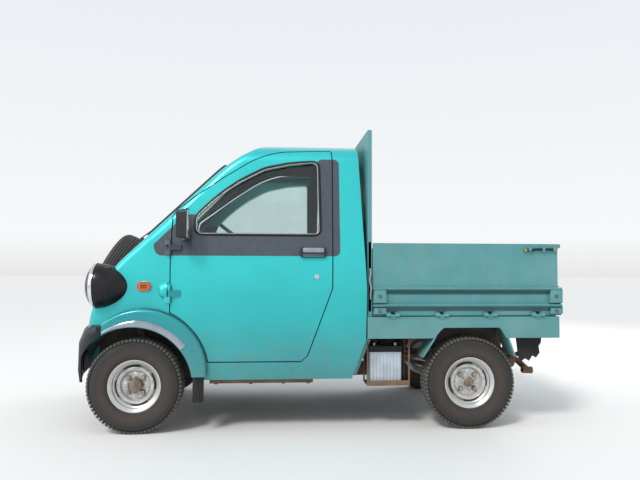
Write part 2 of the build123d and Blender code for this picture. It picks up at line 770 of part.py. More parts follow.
# Steering: uprights on their kingpins carry the front spindles
kingpin_y = 438
kingpin_radius = 18
upright_low = 176
upright_high = 352
for name, side in (("left", -1), ("right", 1)):
    with BuildPart() as knuckle:
        with BuildSketch(Plane.XY.offset(upright_low)):
            with Locations((front_axle_x, side * kingpin_y)):
                Circle(kingpin_radius)
        extrude(amount=upright_high - upright_low)
        with BuildSketch(Plane.XZ.offset(-side * kingpin_y)):
            with Locations((front_axle_x, axle_z)):
                Circle(spindle_radius)
        extrude(amount=-side * (spindle_end - kingpin_y))
        with BuildSketch(Plane.XZ.offset(-side * kingpin_y)):
            with Locations((front_axle_x, axle_z)):
                Circle(30)
        extrude(amount=-side * 22)
        # steering arm to the rear
        with BuildSketch(Plane.XY.offset(upright_low + 14)):
            with BuildLine():
                Polyline((front_axle_x, side * (kingpin_y - 16)), (front_axle_x + 110, side * (kingpin_y - 44)),
                         (front_axle_x + 118, side * (kingpin_y - 24)), (front_axle_x, side * (kingpin_y + 14)),
                         close=True)
            make_face()
        extrude(amount=14)
    knuckle.part.label = f"knuckle_{name}"
    export_step(knuckle.part, f"parts/knuckle_{name}.step")

# Front suspension: cross member, lower arms and struts
strut_radius = 22
with BuildPart() as front_suspension:
    with BuildSketch(Plane.XY.offset(upright_low - 26)):
        for side in (-1, 1):
            with BuildLine():
                Polyline((fx(-26), side * (kingpin_y + 22)), (fx(-26), side * (kingpin_y - 30)),
                         (fx(-120), side * 215), (fx(120), side * 215), (fx(26), side * (kingpin_y - 30)),
                         (fx(26), side * (kingpin_y + 22)), close=True)
            make_face()
        with Locations((front_axle_x, 0)):
            Rectangle(90, 430)
    extrude(amount=26 - pin_gap)
    for side in (-1, 1):
        with BuildSketch(Plane.XY.offset(upright_high + pin_gap)):
            with Locations((front_axle_x, side * kingpin_y)):
                Circle(strut_radius)
        extrude(amount=arch_z + sqrt(arch_radius**2 - (strut_radius - arch_x) ** 2) - seat - upright_high - pin_gap)
        with BuildSketch(Plane.XY.offset(upright_low - pin_gap - 1)):
            with Locations((front_axle_x, side * (rail_y - 30))):
                Rectangle(70, 36)
        extrude(amount=rail_bottom_z - seat - upright_low + pin_gap + 1)
front_suspension.part.label = "front_suspension"
export_step(front_suspension.part, "parts/front_suspension.step")

# Leaf springs under the rear of the frame
spring_y = 335
spring_width = 50
spring_half = 430
spring_eye_z = 392
spring_low_z = axle_z + 34

# Ladder frame: two kicked up rails, each of three lengths, with cross members and hangers between them
frame_front_x = -250
frame_rear_x = bed_rear_x - skirt_thick - seat
hook_x = bed_rear_x - 40
hook_y = 200
hook_z = 462
hook_radius = 26
hook_bore = 24
hook_thick = 14
kick_start_x = 1290
kick_end_x = 1480
kick_mitre = 24
rear_rail_low_z = rear_rail_top_z - rear_rail_height
rail_face_y = rail_y + rail_width / 2
rail_lengths = (
    # x and z of the front top, rear top, rear bottom and front bottom corners
    ((frame_front_x, rail_top_z), (kick_start_x, rail_top_z),
     (kick_start_x + kick_mitre, rail_bottom_z), (frame_front_x, rail_bottom_z)),
    ((kick_start_x + seat, rail_top_z), (kick_end_x, rear_rail_top_z),
     (kick_end_x + kick_mitre, rear_rail_low_z), (kick_start_x + kick_mitre + seat, rail_bottom_z)),
    ((kick_end_x + seat, rear_rail_top_z), (frame_rear_x, rear_rail_top_z),
     (frame_rear_x, rear_rail_low_z), (kick_end_x + kick_mitre + seat, rear_rail_low_z)),
)
cross_members = (
    # x, low z, high z
    (-190, 255, 315),
    (660, 255, 315),
    (1100, 255, 315),
    (1560, 500, 555),
    (bed_rear_x - 166, 500, 555),
    (bed_rear_x - 46, 500, 555),
)
spring_hangers = (
    # x, low z, high z
    (1410, 368, 440),
    (2270, 368, 540),
)
with BuildPart() as frame:
    for side in (-1, 1):
        for corners in rail_lengths:
            with BuildSketch(Plane.XZ.offset(-side * rail_y - rail_width / 2)):
                with BuildLine():
                    Polyline(*[(fx(x), z) for x, z in corners], close=True)
                make_face()
            extrude(amount=rail_width)
    for x, low_z, high_z in cross_members:
        with BuildSketch(Plane.XY.offset(low_z)):
            with Locations((fx(x), 0)):
                Rectangle(60, 2 * (rail_y - rail_width / 2 - seat))
        extrude(amount=high_z - low_z)
    # spring hangers bolted to the rails' outer faces
    for x, low_z, high_z in spring_hangers:
        for side in (-1, 1):
            with BuildSketch(Plane.XY.offset(low_z)):
                with Locations((fx(x), side * (rail_face_y + seat))):
                    Rectangle(44, spring_y - spring_width / 2 - rail_face_y - 2 * seat,
                              align=(Align.CENTER, Align.MIN if side > 0 else Align.MAX))
            extrude(amount=high_z - low_z)
    # towing eye under the last cross member
    with BuildSketch(Plane.XZ.offset(-hook_y)):
        with Locations((fx(hook_x), hook_z)):
            Circle(hook_radius)
        with Locations((fx(hook_x), hook_z)):
            Rectangle(2 * hook_radius, 60, align=(Align.CENTER, Align.MIN))
        with Locations((fx(hook_x), hook_z)):
            Circle(hook_bore / 2, mode=Mode.SUBTRACT)
    extrude(amount=hook_thick / 2, both=True)
frame.part.label = "ladder_frame"
export_step(frame.part, "parts/ladder_frame.step")

# Engine under the seats, one plain block with its sump
engine_rear_x = 1130
engine_low_z = cross_members[1][2] + seat
with BuildPart() as engine:
    with BuildSketch(Plane.XY.offset(engine_low_z)):
        with Locations((fx(engine_rear_x), 0)):
            Rectangle(460, 420, align=(Align.MAX, Align.CENTER))
    extrude(amount=seat_box_z - floor_sheet - 8 - engine_low_z)
    with BuildSketch(Plane.XY.offset(232)):
        with Locations((fx(880), 0)):
            Rectangle(340, 300)
    extrude(amount=90)
engine.part.label = "engine_block"
export_step(engine.part, "parts/engine_block.step")

# Rear axle: tube, differential, spindles and leaf springs
with BuildPart() as rear_axle:
    with BuildSketch(Plane.XZ):
        with Locations((rear_axle_x, axle_z)):
            Circle(32)
    extrude(amount=wheel_y - 96, both=True)
    with BuildSketch(Plane.XZ):
        with Locations((rear_axle_x, axle_z)):
            Circle(spindle_radius)
    extrude(amount=spindle_end, both=True)
    with BuildSketch(Plane.YZ.offset(rear_axle_x)) as housing:
        with BuildLine():
            ThreePointArc((-95, axle_z), (0, axle_z + 95), (95, axle_z))
            Line((95, axle_z), (-95, axle_z))
        make_face()
    revolve(axis=Axis((rear_axle_x, 0, axle_z), (0, 1, 0)))
    for side in (-1, 1):
        with BuildSketch(Plane.XZ.offset(-side * spring_y - spring_width / 2)):
            with BuildLine():
                left = (rear_axle_x - spring_half, spring_eye_z)
                right = (rear_axle_x + spring_half, spring_eye_z)
                ThreePointArc(left, (rear_axle_x, spring_low_z), right)
                Line(right, (right[0], right[1] + 9))
                ThreePointArc((right[0], right[1] + 9), (rear_axle_x, spring_low_z + 26), (left[0], left[1] + 9))
                Line((left[0], left[1] + 9), left)
            make_face()
            with Locations(left, right):
                Circle(19)
            with Locations((rear_axle_x, axle_z + 24)):
                Rectangle(96, 44)
        extrude(amount=spring_width)
rear_axle.part.label = "rear_axle"
export_step(rear_axle.part, "parts/rear_axle.step")

# Load bed: a deck on cross bearers, with arched skirts and a tail panel hung under its edge
floor_front_x = guard_x + guard_thick + seat
rear_arch = (
    # x behind the front axle, height
    (1625, skirt_bottom_z - 20),
    (1672, 566),
    (2008, 566),
    (2052, skirt_bottom_z - 20),
)
bearers_x = (1330, 1545, 1850, bed_rear_x - 206)
lip_depth = 150
lip_foot_z = 402
splash_plates = (
    # foot x, head x
    (1561, 1632),
    (2085, 2045),
)
plate_bolt_y = 105       # the number plate's two bolts
plate_bolt_z = 600
with BuildPart() as bed_floor:
    with BuildSketch(Plane.XY.offset(skirt_top_z)):
        with Locations((fx(floor_front_x), 0)):
            Rectangle(bed_rear_x - floor_front_x, 2 * (gate_inner_y - gap), align=(Align.MIN, Align.CENTER))
    extrude(amount=floor_thick)
    with BuildSketch(Plane.XY.offset(skirt_top_z - ledge)):
        with Locations((fx(bed_front_x), 0)):
            Rectangle(bed_rear_x - bed_front_x, 2 * skirt_y, align=(Align.MIN, Align.CENTER))
    extrude(amount=ledge)
    for side in (-1, 1):
        # skirt with its wheel arch
        with BuildSketch(Plane.XZ.offset(-side * skirt_y)) as skirt:
            with Locations((fx(bed_front_x), skirt_bottom_z)):
                Rectangle(bed_rear_x - bed_front_x, skirt_head_z - skirt_bottom_z, align=(Align.MIN, Align.MIN))
            with BuildLine():
                Polyline(*[(fx(x), z) for x, z in rear_arch], close=True)
            make_face(mode=Mode.SUBTRACT)
            fillet(skirt.vertices().group_by(Axis.Y)[-2], radius=38)
        extrude(amount=side * skirt_thick)
        # splash plates before and behind the wheel
        with BuildSketch(Plane.XZ.offset(-side * skirt_y)):
            for foot_x, head_x in splash_plates:
                with BuildLine():
                    Polyline((fx(foot_x), lip_foot_z), (fx(foot_x + 10), lip_foot_z),
                             (fx(head_x + 10), skirt_bottom_z + 4), (fx(head_x + 10), skirt_head_z),
                             (fx(head_x), skirt_head_z), (fx(head_x), skirt_bottom_z + 4), close=True)
                make_face()
        extrude(amount=side * lip_depth)
        # fixed barrels of the side gates' hinges
        for x in gate_hinges_x:
            with BuildSketch(Plane.YZ.offset(fx(x) - barrel_length / 2)):
                with Locations((side * gate_hinge_y, gate_hinge_z)):
                    Circle(barrel_radius)
                with Locations((side * (gate_hinge_y - 8), gate_hinge_z - 8)):
                    Rectangle(16, 16)
            extrude(amount=barrel_length)
    # tail panel
    with BuildSketch(Plane.YZ.offset(fx(bed_rear_x) - skirt_thick)):
        with Locations((0, skirt_bottom_z)):
            Rectangle(2 * (skirt_y - skirt_thick - seat), skirt_head_z - skirt_bottom_z,
                      align=(Align.CENTER, Align.MIN))
    extrude(amount=skirt_thick)
    with BuildSketch(Plane.YZ.offset(fx(bed_rear_x))):
        with GridLocations(2 * plate_bolt_y, 0, 2, 1):
            with Locations((0, plate_bolt_z)):
                Circle(3.5)
    extrude(amount=-skirt_thick, mode=Mode.SUBTRACT)
    for y in tail_hinges_y:
        with BuildSketch(Plane.XZ.offset(-y - barrel_length / 2)):
            with Locations((fx(tail_hinge_x), gate_hinge_z)):
                Circle(barrel_radius)
            with Locations((fx(tail_hinge_x), gate_hinge_z)):
                Rectangle(tail_hinge_x - bed_rear_x + 8, 16, align=(Align.MAX, Align.MAX))
        extrude(amount=barrel_length)
    # bearers between the floor and the rails
    for x in bearers_x:
        with BuildSketch(Plane.XY.offset(rear_rail_top_z + seat)):
            with Locations((fx(x), 0)):
                Rectangle(50, 2 * (rail_y + 60))
        extrude(amount=skirt_head_z - rear_rail_top_z - seat)
bed_floor.part.label = "bed_floor"
export_step(bed_floor.part, "parts/bed_floor.step")

# Headboard guard behind the cab: a flanged sheet with a small look-out
guard_flange = 30
guard_sheet = 4
lookout_z = 1315
with BuildPart() as headboard:
    with BuildSketch(Plane.YZ.offset(fx(guard_x))):
        with Locations((0, skirt_top_z + seat)):
            Rectangle(2 * guard_y, guard_top_z - skirt_top_z - seat, align=(Align.CENTER, Align.MIN))
        with Locations((0, lookout_z)):
            RectangleRounded(500, 320, 30, mode=Mode.SUBTRACT)
    extrude(amount=guard_sheet)
    with BuildSketch(Plane.YZ.offset(fx(guard_x))):
        with Locations((0, skirt_top_z + seat)):
            Rectangle(2 * guard_y, guard_top_z - skirt_top_z - seat, align=(Align.CENTER, Align.MIN))
            Rectangle(2 * (guard_y - guard_flange), guard_top_z - guard_flange - skirt_top_z - seat,
                      align=(Align.CENTER, Align.MIN), mode=Mode.SUBTRACT)
    extrude(amount=guard_thick)
headboard.part.label = "headboard_guard"
export_step(headboard.part, "parts/headboard_guard.step")

# Drop side gates: a ribbed gate with a plain board above it
gate_front_x = guard_x + guard_thick + gap
gate_rear_x = bed_rear_x + 20
board_rear_x = bed_rear_x
gate_section = (
    # out from the middle, height
    (gate_inner_y, gate_foot_z),
    (gate_plate_y + 6, gate_foot_z),
    (gate_plate_y + 6, 652),
    (gate_rib_y, 680),
    (gate_rib_y, 692),
    (gate_plate_y, 698),
    (gate_plate_y, 746),
    (gate_rib_y, 772),
    (gate_rib_y, 784),
    (gate_plate_y + 6, 790),
    (gate_plate_y + 6, board_top_z),
    (gate_plate_y - 6, board_top_z),
    (gate_plate_y - 6, 790),
    (gate_inner_y, 790),
)
latch_plates = (
    # front x, low z, height
    (gate_front_x, 640, 34),
    (gate_front_x, 700, 74),
    (gate_rear_x - 74, 640, 34),
    (gate_rear_x - 74, 700, 74),
)
for name, side in (("left", -1), ("right", 1)):
    with BuildPart() as side_gate:
        with BuildSketch(Plane.YZ.offset(fx(gate_front_x))):
            with BuildLine():
                Polyline(*[(side * y, z) for y, z in gate_section], close=True)
            make_face()
        extrude(amount=gate_rear_x - gate_front_x)
        with BuildSketch(Plane.XZ.offset(-side * (gate_rib_y + 20))):
            with Locations((fx(board_rear_x), 790)):
                Rectangle(100, 400, align=(Align.MIN, Align.MIN))
        extrude(amount=side * 100, mode=Mode.SUBTRACT)
        for plate_x, low_z, height in latch_plates:
            with BuildSketch(Plane.XZ.offset(-side * (gate_rib_y + 3))):
                with Locations((fx(plate_x), low_z)):
                    Rectangle(74, height, align=(Align.MIN, Align.MIN))
            extrude(amount=side * (gate_rib_y + 3 - gate_plate_y + 4))
        for x in gate_hinges_x:
            # the flange is notched round the fixed barrel, and a barrel each side turns on it
            with BuildSketch(Plane.XZ.offset(-side * (gate_rib_y + 20))):
                with Locations((fx(x), gate_foot_z)):
                    Rectangle(barrel_length + 2 * pin_gap, 16, align=(Align.CENTER, Align.MIN))
            extrude(amount=side * (gate_rib_y + 20 - gate_plate_y + 2), mode=Mode.SUBTRACT)
            for end in (-1, 1):
                with BuildSketch(Plane.YZ.offset(fx(x) + end * (barrel_length / 2 + pin_gap))):
                    with Locations((side * gate_hinge_y, gate_hinge_z)):
                        Circle(barrel_radius)
                    with BuildLine():
                        Polyline((side * (gate_hinge_y + barrel_radius), gate_hinge_z),
                                 (side * (gate_hinge_y + 1), gate_hinge_z + 12),
                                 (side * gate_plate_y, gate_hinge_z + 20), (side * gate_plate_y, gate_foot_z),
                                 (side * (gate_hinge_y - 4), gate_foot_z), (side * (gate_hinge_y - 4), gate_hinge_z),
                                 close=True)
                    make_face()
                extrude(amount=end * barrel_length)
    side_gate.part.label = f"side_gate_{name}"
    export_step(side_gate.part, f"parts/side_gate_{name}.step")

# Tailgate between the side gates
tail_inner_x = bed_rear_x + gap
tail_plate_x = tail_inner_x + 8
tail_rib_x = tail_hinge_x - 5
tail_half = gate_inner_y - gap
tail_section = (
    # x behind the front axle, height
    (tail_inner_x, gate_foot_z),
    (tail_plate_x + 2, gate_foot_z),
    (tail_plate_x + 2, 652),
    (tail_rib_x, 672),
    (tail_rib_x, 690),
    (tail_plate_x, 700),
    (tail_plate_x, 748),
    (tail_rib_x, 768),
    (tail_rib_x, 786),
    (tail_plate_x, 796),
    (tail_plate_x, board_top_z - 26),
    (tail_rib_x, board_top_z - 20),
    (tail_rib_x, board_top_z),
    (tail_inner_x, board_top_z),
)
with BuildPart() as tailgate:
    with BuildSketch(Plane.XZ.offset(-tail_half)):
        with BuildLine():
            Polyline(*[(fx(x), z) for x, z in tail_section], close=True)
        make_face()
    extrude(amount=2 * tail_half)
    for y in tail_hinges_y:
        with BuildSketch(Plane.YZ.offset(fx(tail_inner_x - 2))):
            with Locations((y, gate_foot_z)):
                Rectangle(barrel_length + 2 * pin_gap, 18, align=(Align.CENTER, Align.MIN))
        extrude(amount=60, mode=Mode.SUBTRACT)
        for end in (-1, 1):
            with BuildSketch(Plane.XZ.offset(-y - end * (barrel_length / 2 + pin_gap))):
                with Locations((fx(tail_hinge_x), gate_hinge_z)):
                    Circle(barrel_radius)
                with BuildLine():
                    Polyline((fx(tail_hinge_x) + barrel_radius, gate_hinge_z),
                             (fx(tail_hinge_x) + 1, gate_hinge_z + 14),
                             (fx(tail_plate_x - 2), gate_hinge_z + 22), (fx(tail_plate_x - 2), gate_foot_z),
                             (fx(tail_hinge_x) - 4, gate_foot_z), (fx(tail_hinge_x) - 4, gate_hinge_z), close=True)
                make_face()
            extrude(amount=-end * barrel_length)
tailgate.part.label = "tailgate"
export_step(tailgate.part, "parts/tailgate.step")

# Tail lamps on the tail panel
with BuildPart() as tail_lamps:
    with BuildSketch(Plane.YZ.offset(fx(bed_rear_x) + seat)):
        with GridLocations(1040, 0, 2, 1):
            with Locations((0, 566)):
                RectangleRounded(150, 76, 10)
    extrude(amount=12)
tail_lamps.part.label = "tail_lamps"
export_step(tail_lamps.part, "parts/tail_lamps.step")

# Battery in its open tray behind the cab, left side
battery_x = 1277
battery_length = 187
battery_width = 127
battery_low_z = 245
battery_height = 212
battery_y = 562
tray_wall = 6
with BuildPart() as battery:
    with BuildSketch(Plane.XY.offset(battery_low_z)):
        with Locations((fx(battery_x), -battery_y)):
            Rectangle(battery_length, battery_width, align=(Align.MIN, Align.MIN))
    extrude(amount=battery_height)
    with BuildSketch(Plane.XY.offset(battery_low_z + battery_height)):
        with Locations((fx(battery_x + battery_length / 2), -battery_y + battery_width / 2)):
            with GridLocations(120, 0, 2, 1):
                Circle(9)
    extrude(amount=14)
battery.part.label = "battery"
export_step(battery.part, "parts/battery.step")

with BuildPart() as tray:
    with BuildSketch(Plane.XY.offset(battery_low_z - tray_wall - seat)):
        with Locations((fx(battery_x - 12), -battery_y - 14)):
            Rectangle(240, battery_width + 28, align=(Align.MIN, Align.MIN))
    extrude(amount=tray_wall)
    with BuildSketch(Plane.XY.offset(battery_low_z - seat - tray_wall)):
        for x in (battery_x - 12, battery_x + 222):
            for y in (-battery_y - 14, -battery_y + battery_width - 10):
                with Locations((fx(x), y)):
                    Rectangle(tray_wall, 24, align=(Align.MIN, Align.MIN))
    extrude(amount=skirt_top_z - ledge - seat - battery_low_z + seat + tray_wall)
    with BuildSketch(Plane.XY.offset(battery_low_z - seat)):
        with Locations((fx(battery_x - 12), -battery_y - 14)):
            Rectangle(240, 4, align=(Align.MIN, Align.MIN))
    extrude(amount=22)
tray.part.label = "battery_tray"
export_step(tray.part, "parts/battery_tray.step")

# Fuel tank on the right, hung from the bed
tank_top_z = 500
with BuildPart() as tank:
    with BuildSketch(Plane.XY.offset(258)):
        with Locations((fx(1290), 375)):
            RectangleRounded(250, 215, 40, align=(Align.MIN, Align.MIN))
    extrude(amount=tank_top_z - 258)
    fillet(tank.edges().group_by(Axis.Z)[0], radius=20)
    with BuildSketch(Plane.XY.offset(tank_top_z)):
        for x in (1320, 1500):
            with Locations((fx(x), 482)):
                Rectangle(20, 180)
    extrude(amount=skirt_top_z - ledge - seat - tank_top_z)
tank.part.label = "fuel_tank"
export_step(tank.part, "parts/fuel_tank.step")

# Exhaust: pipe over the axle, silencer and tail pipe
exhaust_y = -165
pipe_radius = 19
silencer_x = 2060
silencer_z = 330
silencer_radius = 62
with BuildPart() as exhaust:
    with BuildLine() as route:
        FilletPolyline(
            (fx(engine_rear_x + seat), exhaust_y, 345), (fx(1640), exhaust_y, 345), (fx(1740), exhaust_y, 400),
            (fx(1950), exhaust_y, 400), (fx(2030), exhaust_y, silencer_z), (fx(2100), exhaust_y, silencer_z),
            radius=60,
        )
    with BuildSketch(Plane(origin=route.line @ 0, z_dir=route.line % 0)):
        Circle(pipe_radius)
    sweep()
    with BuildSketch(Plane.YZ.offset(fx(silencer_x))):
        with Locations((exhaust_y, silencer_z)):
            Circle(silencer_radius)
    extrude(amount=190)
    with BuildLine() as tail_route:
        FilletPolyline((fx(silencer_x + 150), exhaust_y - 20, silencer_z),
                       (fx(silencer_x + 215), exhaust_y - 20, silencer_z - 14),
                       (fx(2314), exhaust_y - 110, 261), radius=30)
    with BuildSketch(Plane(origin=tail_route.line @ 0, z_dir=tail_route.line % 0)):
        Circle(pipe_radius)
    sweep(path=tail_route.line)
    with BuildSketch(Plane.XY.offset(silencer_z + silencer_radius - 8)):
        with Locations((fx(2165), exhaust_y)):
            Rectangle(26, 26)
    extrude(amount=500 - seat - silencer_z - silencer_radius + 8)
exhaust.part.label = "exhaust"
export_step(exhaust.part, "parts/exhaust.step")

# Rubber mud flaps behind the front wheels
flap_low_z = 168
with BuildPart() as flaps:
    for side in (-1, 1):
        with BuildSketch(Plane.XZ.offset(-side * 622)):
            with BuildLine():
                Polyline((fx(332), sill_z - seat), (fx(340), sill_z - seat), (fx(352), flap_low_z),
                         (fx(344), flap_low_z), close=True)
            make_face()
        extrude(amount=side * 170)
flaps.part.label = "mud_flaps"
export_step(flaps.part, "parts/mud_flaps.step")

# Dashboard with its centre console and the steering column
wheel_centre = (518, 265, 1071)
wheel_radius = 185
column_lean = radians(37.7)
column_radius = 17
dash_profile = (
    # x behind the front axle, height
    (-160, 1000),
    (250, 1000),
    (322, 978),
    (336, 948),
    (322, 862),
    (190, 828),
    (-160, 850),
)
column_plane = Plane(origin=(fx(wheel_centre[0]), wheel_centre[1], wheel_centre[2]), x_dir=(0, 1, 0),
                     z_dir=(sin(column_lean), 0, cos(column_lean)))
hub_depth = 44
with BuildPart() as dashboard:
    with BuildSketch(Plane.XZ.offset(-taper_y)):
        with BuildLine():
            Polyline(*[(fx(x), z) for x, z in dash_profile], close=True)
        make_face()
    extrude(amount=2 * taper_y)
    fillet(dashboard.edges().filter_by(Axis.Y).group_by(Axis.X)[-1], radius=16)
    # console down to the shelf and over the toe board
    with BuildSketch(Plane.XZ.offset(-90)):
        with BuildLine():
            Polyline((fx(60), 900), (fx(310), 900), (fx(330), shelf_z + seat), (fx(60), shelf_z + seat), close=True)
        make_face()
    extrude(amount=180)
    with BuildSketch(column_plane.offset(-hub_depth - pin_gap)):
        Circle(column_radius)
    extrude(amount=-500)
    with BuildSketch(column_plane.offset(-hub_depth - 30)):
        RectangleRounded(84, 96, 30)
    extrude(amount=-180, taper=-4)
    add(cab_form(cab_wall + gap), mode=Mode.INTERSECT)
    with BuildSketch(Plane.XY.offset(shelf_z + seat)):
        Rectangle(4000, 2000)
    extrude(amount=-400, mode=Mode.SUBTRACT)
    with BuildSketch(spare_plane.offset(-spare_back - bowl_wall - seat)):
        Circle(bowl_radius + bowl_wall + seat)
    extrude(amount=400, mode=Mode.SUBTRACT)
dashboard.part.label = "dashboard"
export_step(dashboard.part, "parts/dashboard.step")

# Steering wheel: rim, three spokes and a deep boss
rim_tube = 12
with BuildPart() as steering_wheel:
    with BuildSketch(Plane(column_plane.origin, x_dir=column_plane.x_dir, z_dir=-column_plane.y_dir)):
        with Locations((wheel_radius - rim_tube, 0)):
            Circle(rim_tube)
    revolve(axis=Axis(column_plane.origin, column_plane.z_dir))
    with BuildSketch(column_plane.offset(-hub_depth)):
        Circle(44)
    extrude(amount=hub_depth - 6, taper=8)
    with BuildSketch(column_plane.offset(-hub_depth + 14)):
        for turn in (0, 180, 270):
            with PolarLocations(0, 1, start_angle=turn):
                with Locations((wheel_radius / 2 - 6, 0)):
                    Rectangle(wheel_radius - rim_tube - 12, 30)
    extrude(amount=30)
steering_wheel.part.label = "steering_wheel"
export_step(steering_wheel.part, "parts/steering_wheel.step")

# Seats: a cushion and a back with its headrest on each side
seat_y = 265
seat_width = 440
seat_front_x = 690
cushion_rear_x = 1040
cushion_low_z = seat_box_z + seat
with BuildPart() as cushions:
    for y in (-seat_y, seat_y):
        with BuildSketch(Plane.XZ.offset(-y - seat_width / 2)) as side_view:
            with BuildLine():
                Polyline((fx(seat_front_x), cushion_low_z), (fx(seat_front_x - 22), cushion_low_z + 96),
                         (fx(seat_front_x + 10), cushion_low_z + 128), (fx(cushion_rear_x), cushion_low_z + 104),
                         (fx(cushion_rear_x), cushion_low_z), close=True)
            make_face()
            fillet(side_view.vertices().group_by(Axis.Y)[-1] + side_view.vertices().sort_by(Axis.X)[:1], radius=18)
        extrude(amount=seat_width)
    fillet(cushions.edges().filter_by(lambda e: e.center().Z > cushion_low_z + 60 and abs(e.center().X) < 4000
                                      and not e.geom_type == GeomType.LINE), radius=8)
cushions.part.label = "seat_cushions"
export_step(cushions.part, "parts/seat_cushions.step")

back_profile = (
    # x behind the front axle, height
    (cushion_rear_x + seat, cushion_low_z),
    (cushion_rear_x + seat, cushion_low_z + 120),
    (1078, 1172),
    (1180, 1172),
    (1180, cushion_low_z + 20),
    (1160, cushion_low_z),
)
with BuildPart() as backs:
    for y in (-seat_y, seat_y):
        with BuildSketch(Plane.XZ.offset(-y - seat_width / 2)):
            with BuildLine():
                Polyline(*[(fx(x), z) for x, z in back_profile], close=True)
            make_face()
        extrude(amount=seat_width)
        with BuildSketch(Plane.XZ.offset(-y - 125)):
            with BuildLine():
                Polyline((fx(1082), 1160), (fx(1104), 1330), (fx(1166), 1330), (fx(1176), 1160), close=True)
            make_face()
        extrude(amount=250)
backs.part.label = "seat_backs"
export_step(backs.part, "parts/seat_backs.step")
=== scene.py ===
from math import atan2, cos, pi, radians, sin

import bmesh
import bpy
from mathutils import Matrix, Vector
from mathutils.bvhtree import BVHTree


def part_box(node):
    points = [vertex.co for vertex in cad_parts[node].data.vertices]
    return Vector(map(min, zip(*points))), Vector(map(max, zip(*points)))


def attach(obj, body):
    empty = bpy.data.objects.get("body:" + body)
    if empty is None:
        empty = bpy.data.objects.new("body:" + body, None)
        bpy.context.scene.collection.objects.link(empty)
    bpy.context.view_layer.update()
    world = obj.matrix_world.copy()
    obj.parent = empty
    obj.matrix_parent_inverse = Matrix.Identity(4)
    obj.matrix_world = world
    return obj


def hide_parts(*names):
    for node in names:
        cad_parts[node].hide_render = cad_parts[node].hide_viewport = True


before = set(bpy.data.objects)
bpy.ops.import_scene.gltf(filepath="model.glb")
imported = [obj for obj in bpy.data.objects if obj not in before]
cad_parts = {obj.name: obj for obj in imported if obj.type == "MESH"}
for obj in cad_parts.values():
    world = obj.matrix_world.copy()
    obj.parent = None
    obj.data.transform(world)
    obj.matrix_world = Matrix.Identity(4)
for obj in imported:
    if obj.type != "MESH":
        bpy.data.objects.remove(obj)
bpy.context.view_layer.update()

# Places are metres: x behind the front axle through station(), y to the right, z up from the ground
frontLow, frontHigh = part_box("rim_front_left")
frontAxleX = (frontLow.x + frontHigh.x) / 2
tau = 2 * pi
sides = (("left", -1), ("right", 1))
wheelCorners = (("front_left", -1), ("front_right", 1), ("rear_left", -1), ("rear_right", 1))
spareTilt = radians(26)
spareAxis = Vector((-cos(spareTilt), 0, sin(spareTilt)))


def station(x):
    return frontAxleX + x


# Camera at the photograph's own distance, height and tilt

cameraSpot = {"x": 0.7423, "y": -3.9812, "z": 0.9158, "yaw": 0.0753, "pitch": 0.0387, "roll": 0.0035, "lens": 34.51}


def makeCamera(spot):
    yaw, pitch, roll = spot["yaw"], spot["pitch"], spot["roll"]
    ahead = Vector((sin(yaw) * cos(pitch), cos(yaw) * cos(pitch), sin(pitch)))
    level = Vector((cos(yaw), -sin(yaw), 0))
    upright = level.cross(ahead)
    right = level * cos(roll) + upright * sin(roll)
    up = upright * cos(roll) - level * sin(roll)
    data = bpy.data.cameras.new("camera")
    data.lens = spot["lens"]
    camera = bpy.data.objects.new("camera", data)
    bpy.context.scene.collection.objects.link(camera)
    turn = Matrix((right, up, -ahead)).transposed().to_4x4()
    camera.matrix_world = Matrix.Translation((station(spot["x"]), spot["y"], spot["z"])) @ turn
    bpy.context.scene.camera = camera


makeCamera(cameraSpot)
bpy.context.scene.view_settings.view_transform = "Standard"
print("camera set")

# Node helpers for the materials


def newMaterial(name, **values):
    material = bpy.data.materials.new(name)
    material.use_nodes = True
    tree = material.node_tree
    shader = tree.nodes["Principled BSDF"]
    setShader(shader, **values)
    return material, tree, shader


def setShader(shader, **values):
    sockets = {
        "colour": "Base Color", "metallic": "Metallic", "roughness": "Roughness", "coat": "Coat Weight",
        "coatRoughness": "Coat Roughness", "sheen": "Sheen Weight", "sheenRoughness": "Sheen Roughness",
        "transmission": "Transmission Weight", "ior": "IOR", "specular": "Specular IOR Level",
    }
    for key, value in values.items():
        if key == "colour":
            value = (*value, 1)
        shader.inputs[sockets[key]].default_value = value


def put(tree, kind, **values):
    node = tree.nodes.new(kind)
    for key, value in values.items():
        setattr(node, key, value)
    return node


def join(tree, source, target):
    tree.links.new(source, target)


def coords(tree, scale=(1, 1, 1), centre=(0, 0, 0)):
    place = put(tree, "ShaderNodeTexCoord")
    mapping = put(tree, "ShaderNodeMapping")
    mapping.inputs["Scale"].default_value = scale
    mapping.inputs["Location"].default_value = [-c * s for c, s in zip(centre, scale)]
    join(tree, place.outputs["Object"], mapping.inputs["Vector"])
    return mapping.outputs["Vector"]


def noiseOf(tree, vector, scale, detail=6, rough=0.6):
    node = put(tree, "ShaderNodeTexNoise")
    node.inputs["Scale"].default_value = scale
    node.inputs["Detail"].default_value = detail
    node.inputs["Roughness"].default_value = rough
    join(tree, vector, node.inputs["Vector"])
    return node.outputs["Fac"]


def spread(tree, value, low, high, outLow=0.0, outHigh=1.0):
    node = put(tree, "ShaderNodeMapRange")
    for name, number in (("From Min", low), ("From Max", high), ("To Min", outLow), ("To Max", outHigh)):
        node.inputs[name].default_value = number
    join(tree, value, node.inputs["Value"])
    return node.outputs["Result"]


def maths(tree, operation, *values):
    node = put(tree, "ShaderNodeMath", operation=operation)
    for socket, value in zip(node.inputs, values):
        if isinstance(value, (int, float)):
            socket.default_value = value
        else:
            join(tree, value, socket)
    return node.outputs[0]


def split(tree, vector):
    node = put(tree, "ShaderNodeSeparateXYZ")
    join(tree, vector, node.inputs[0])
    return node.outputs


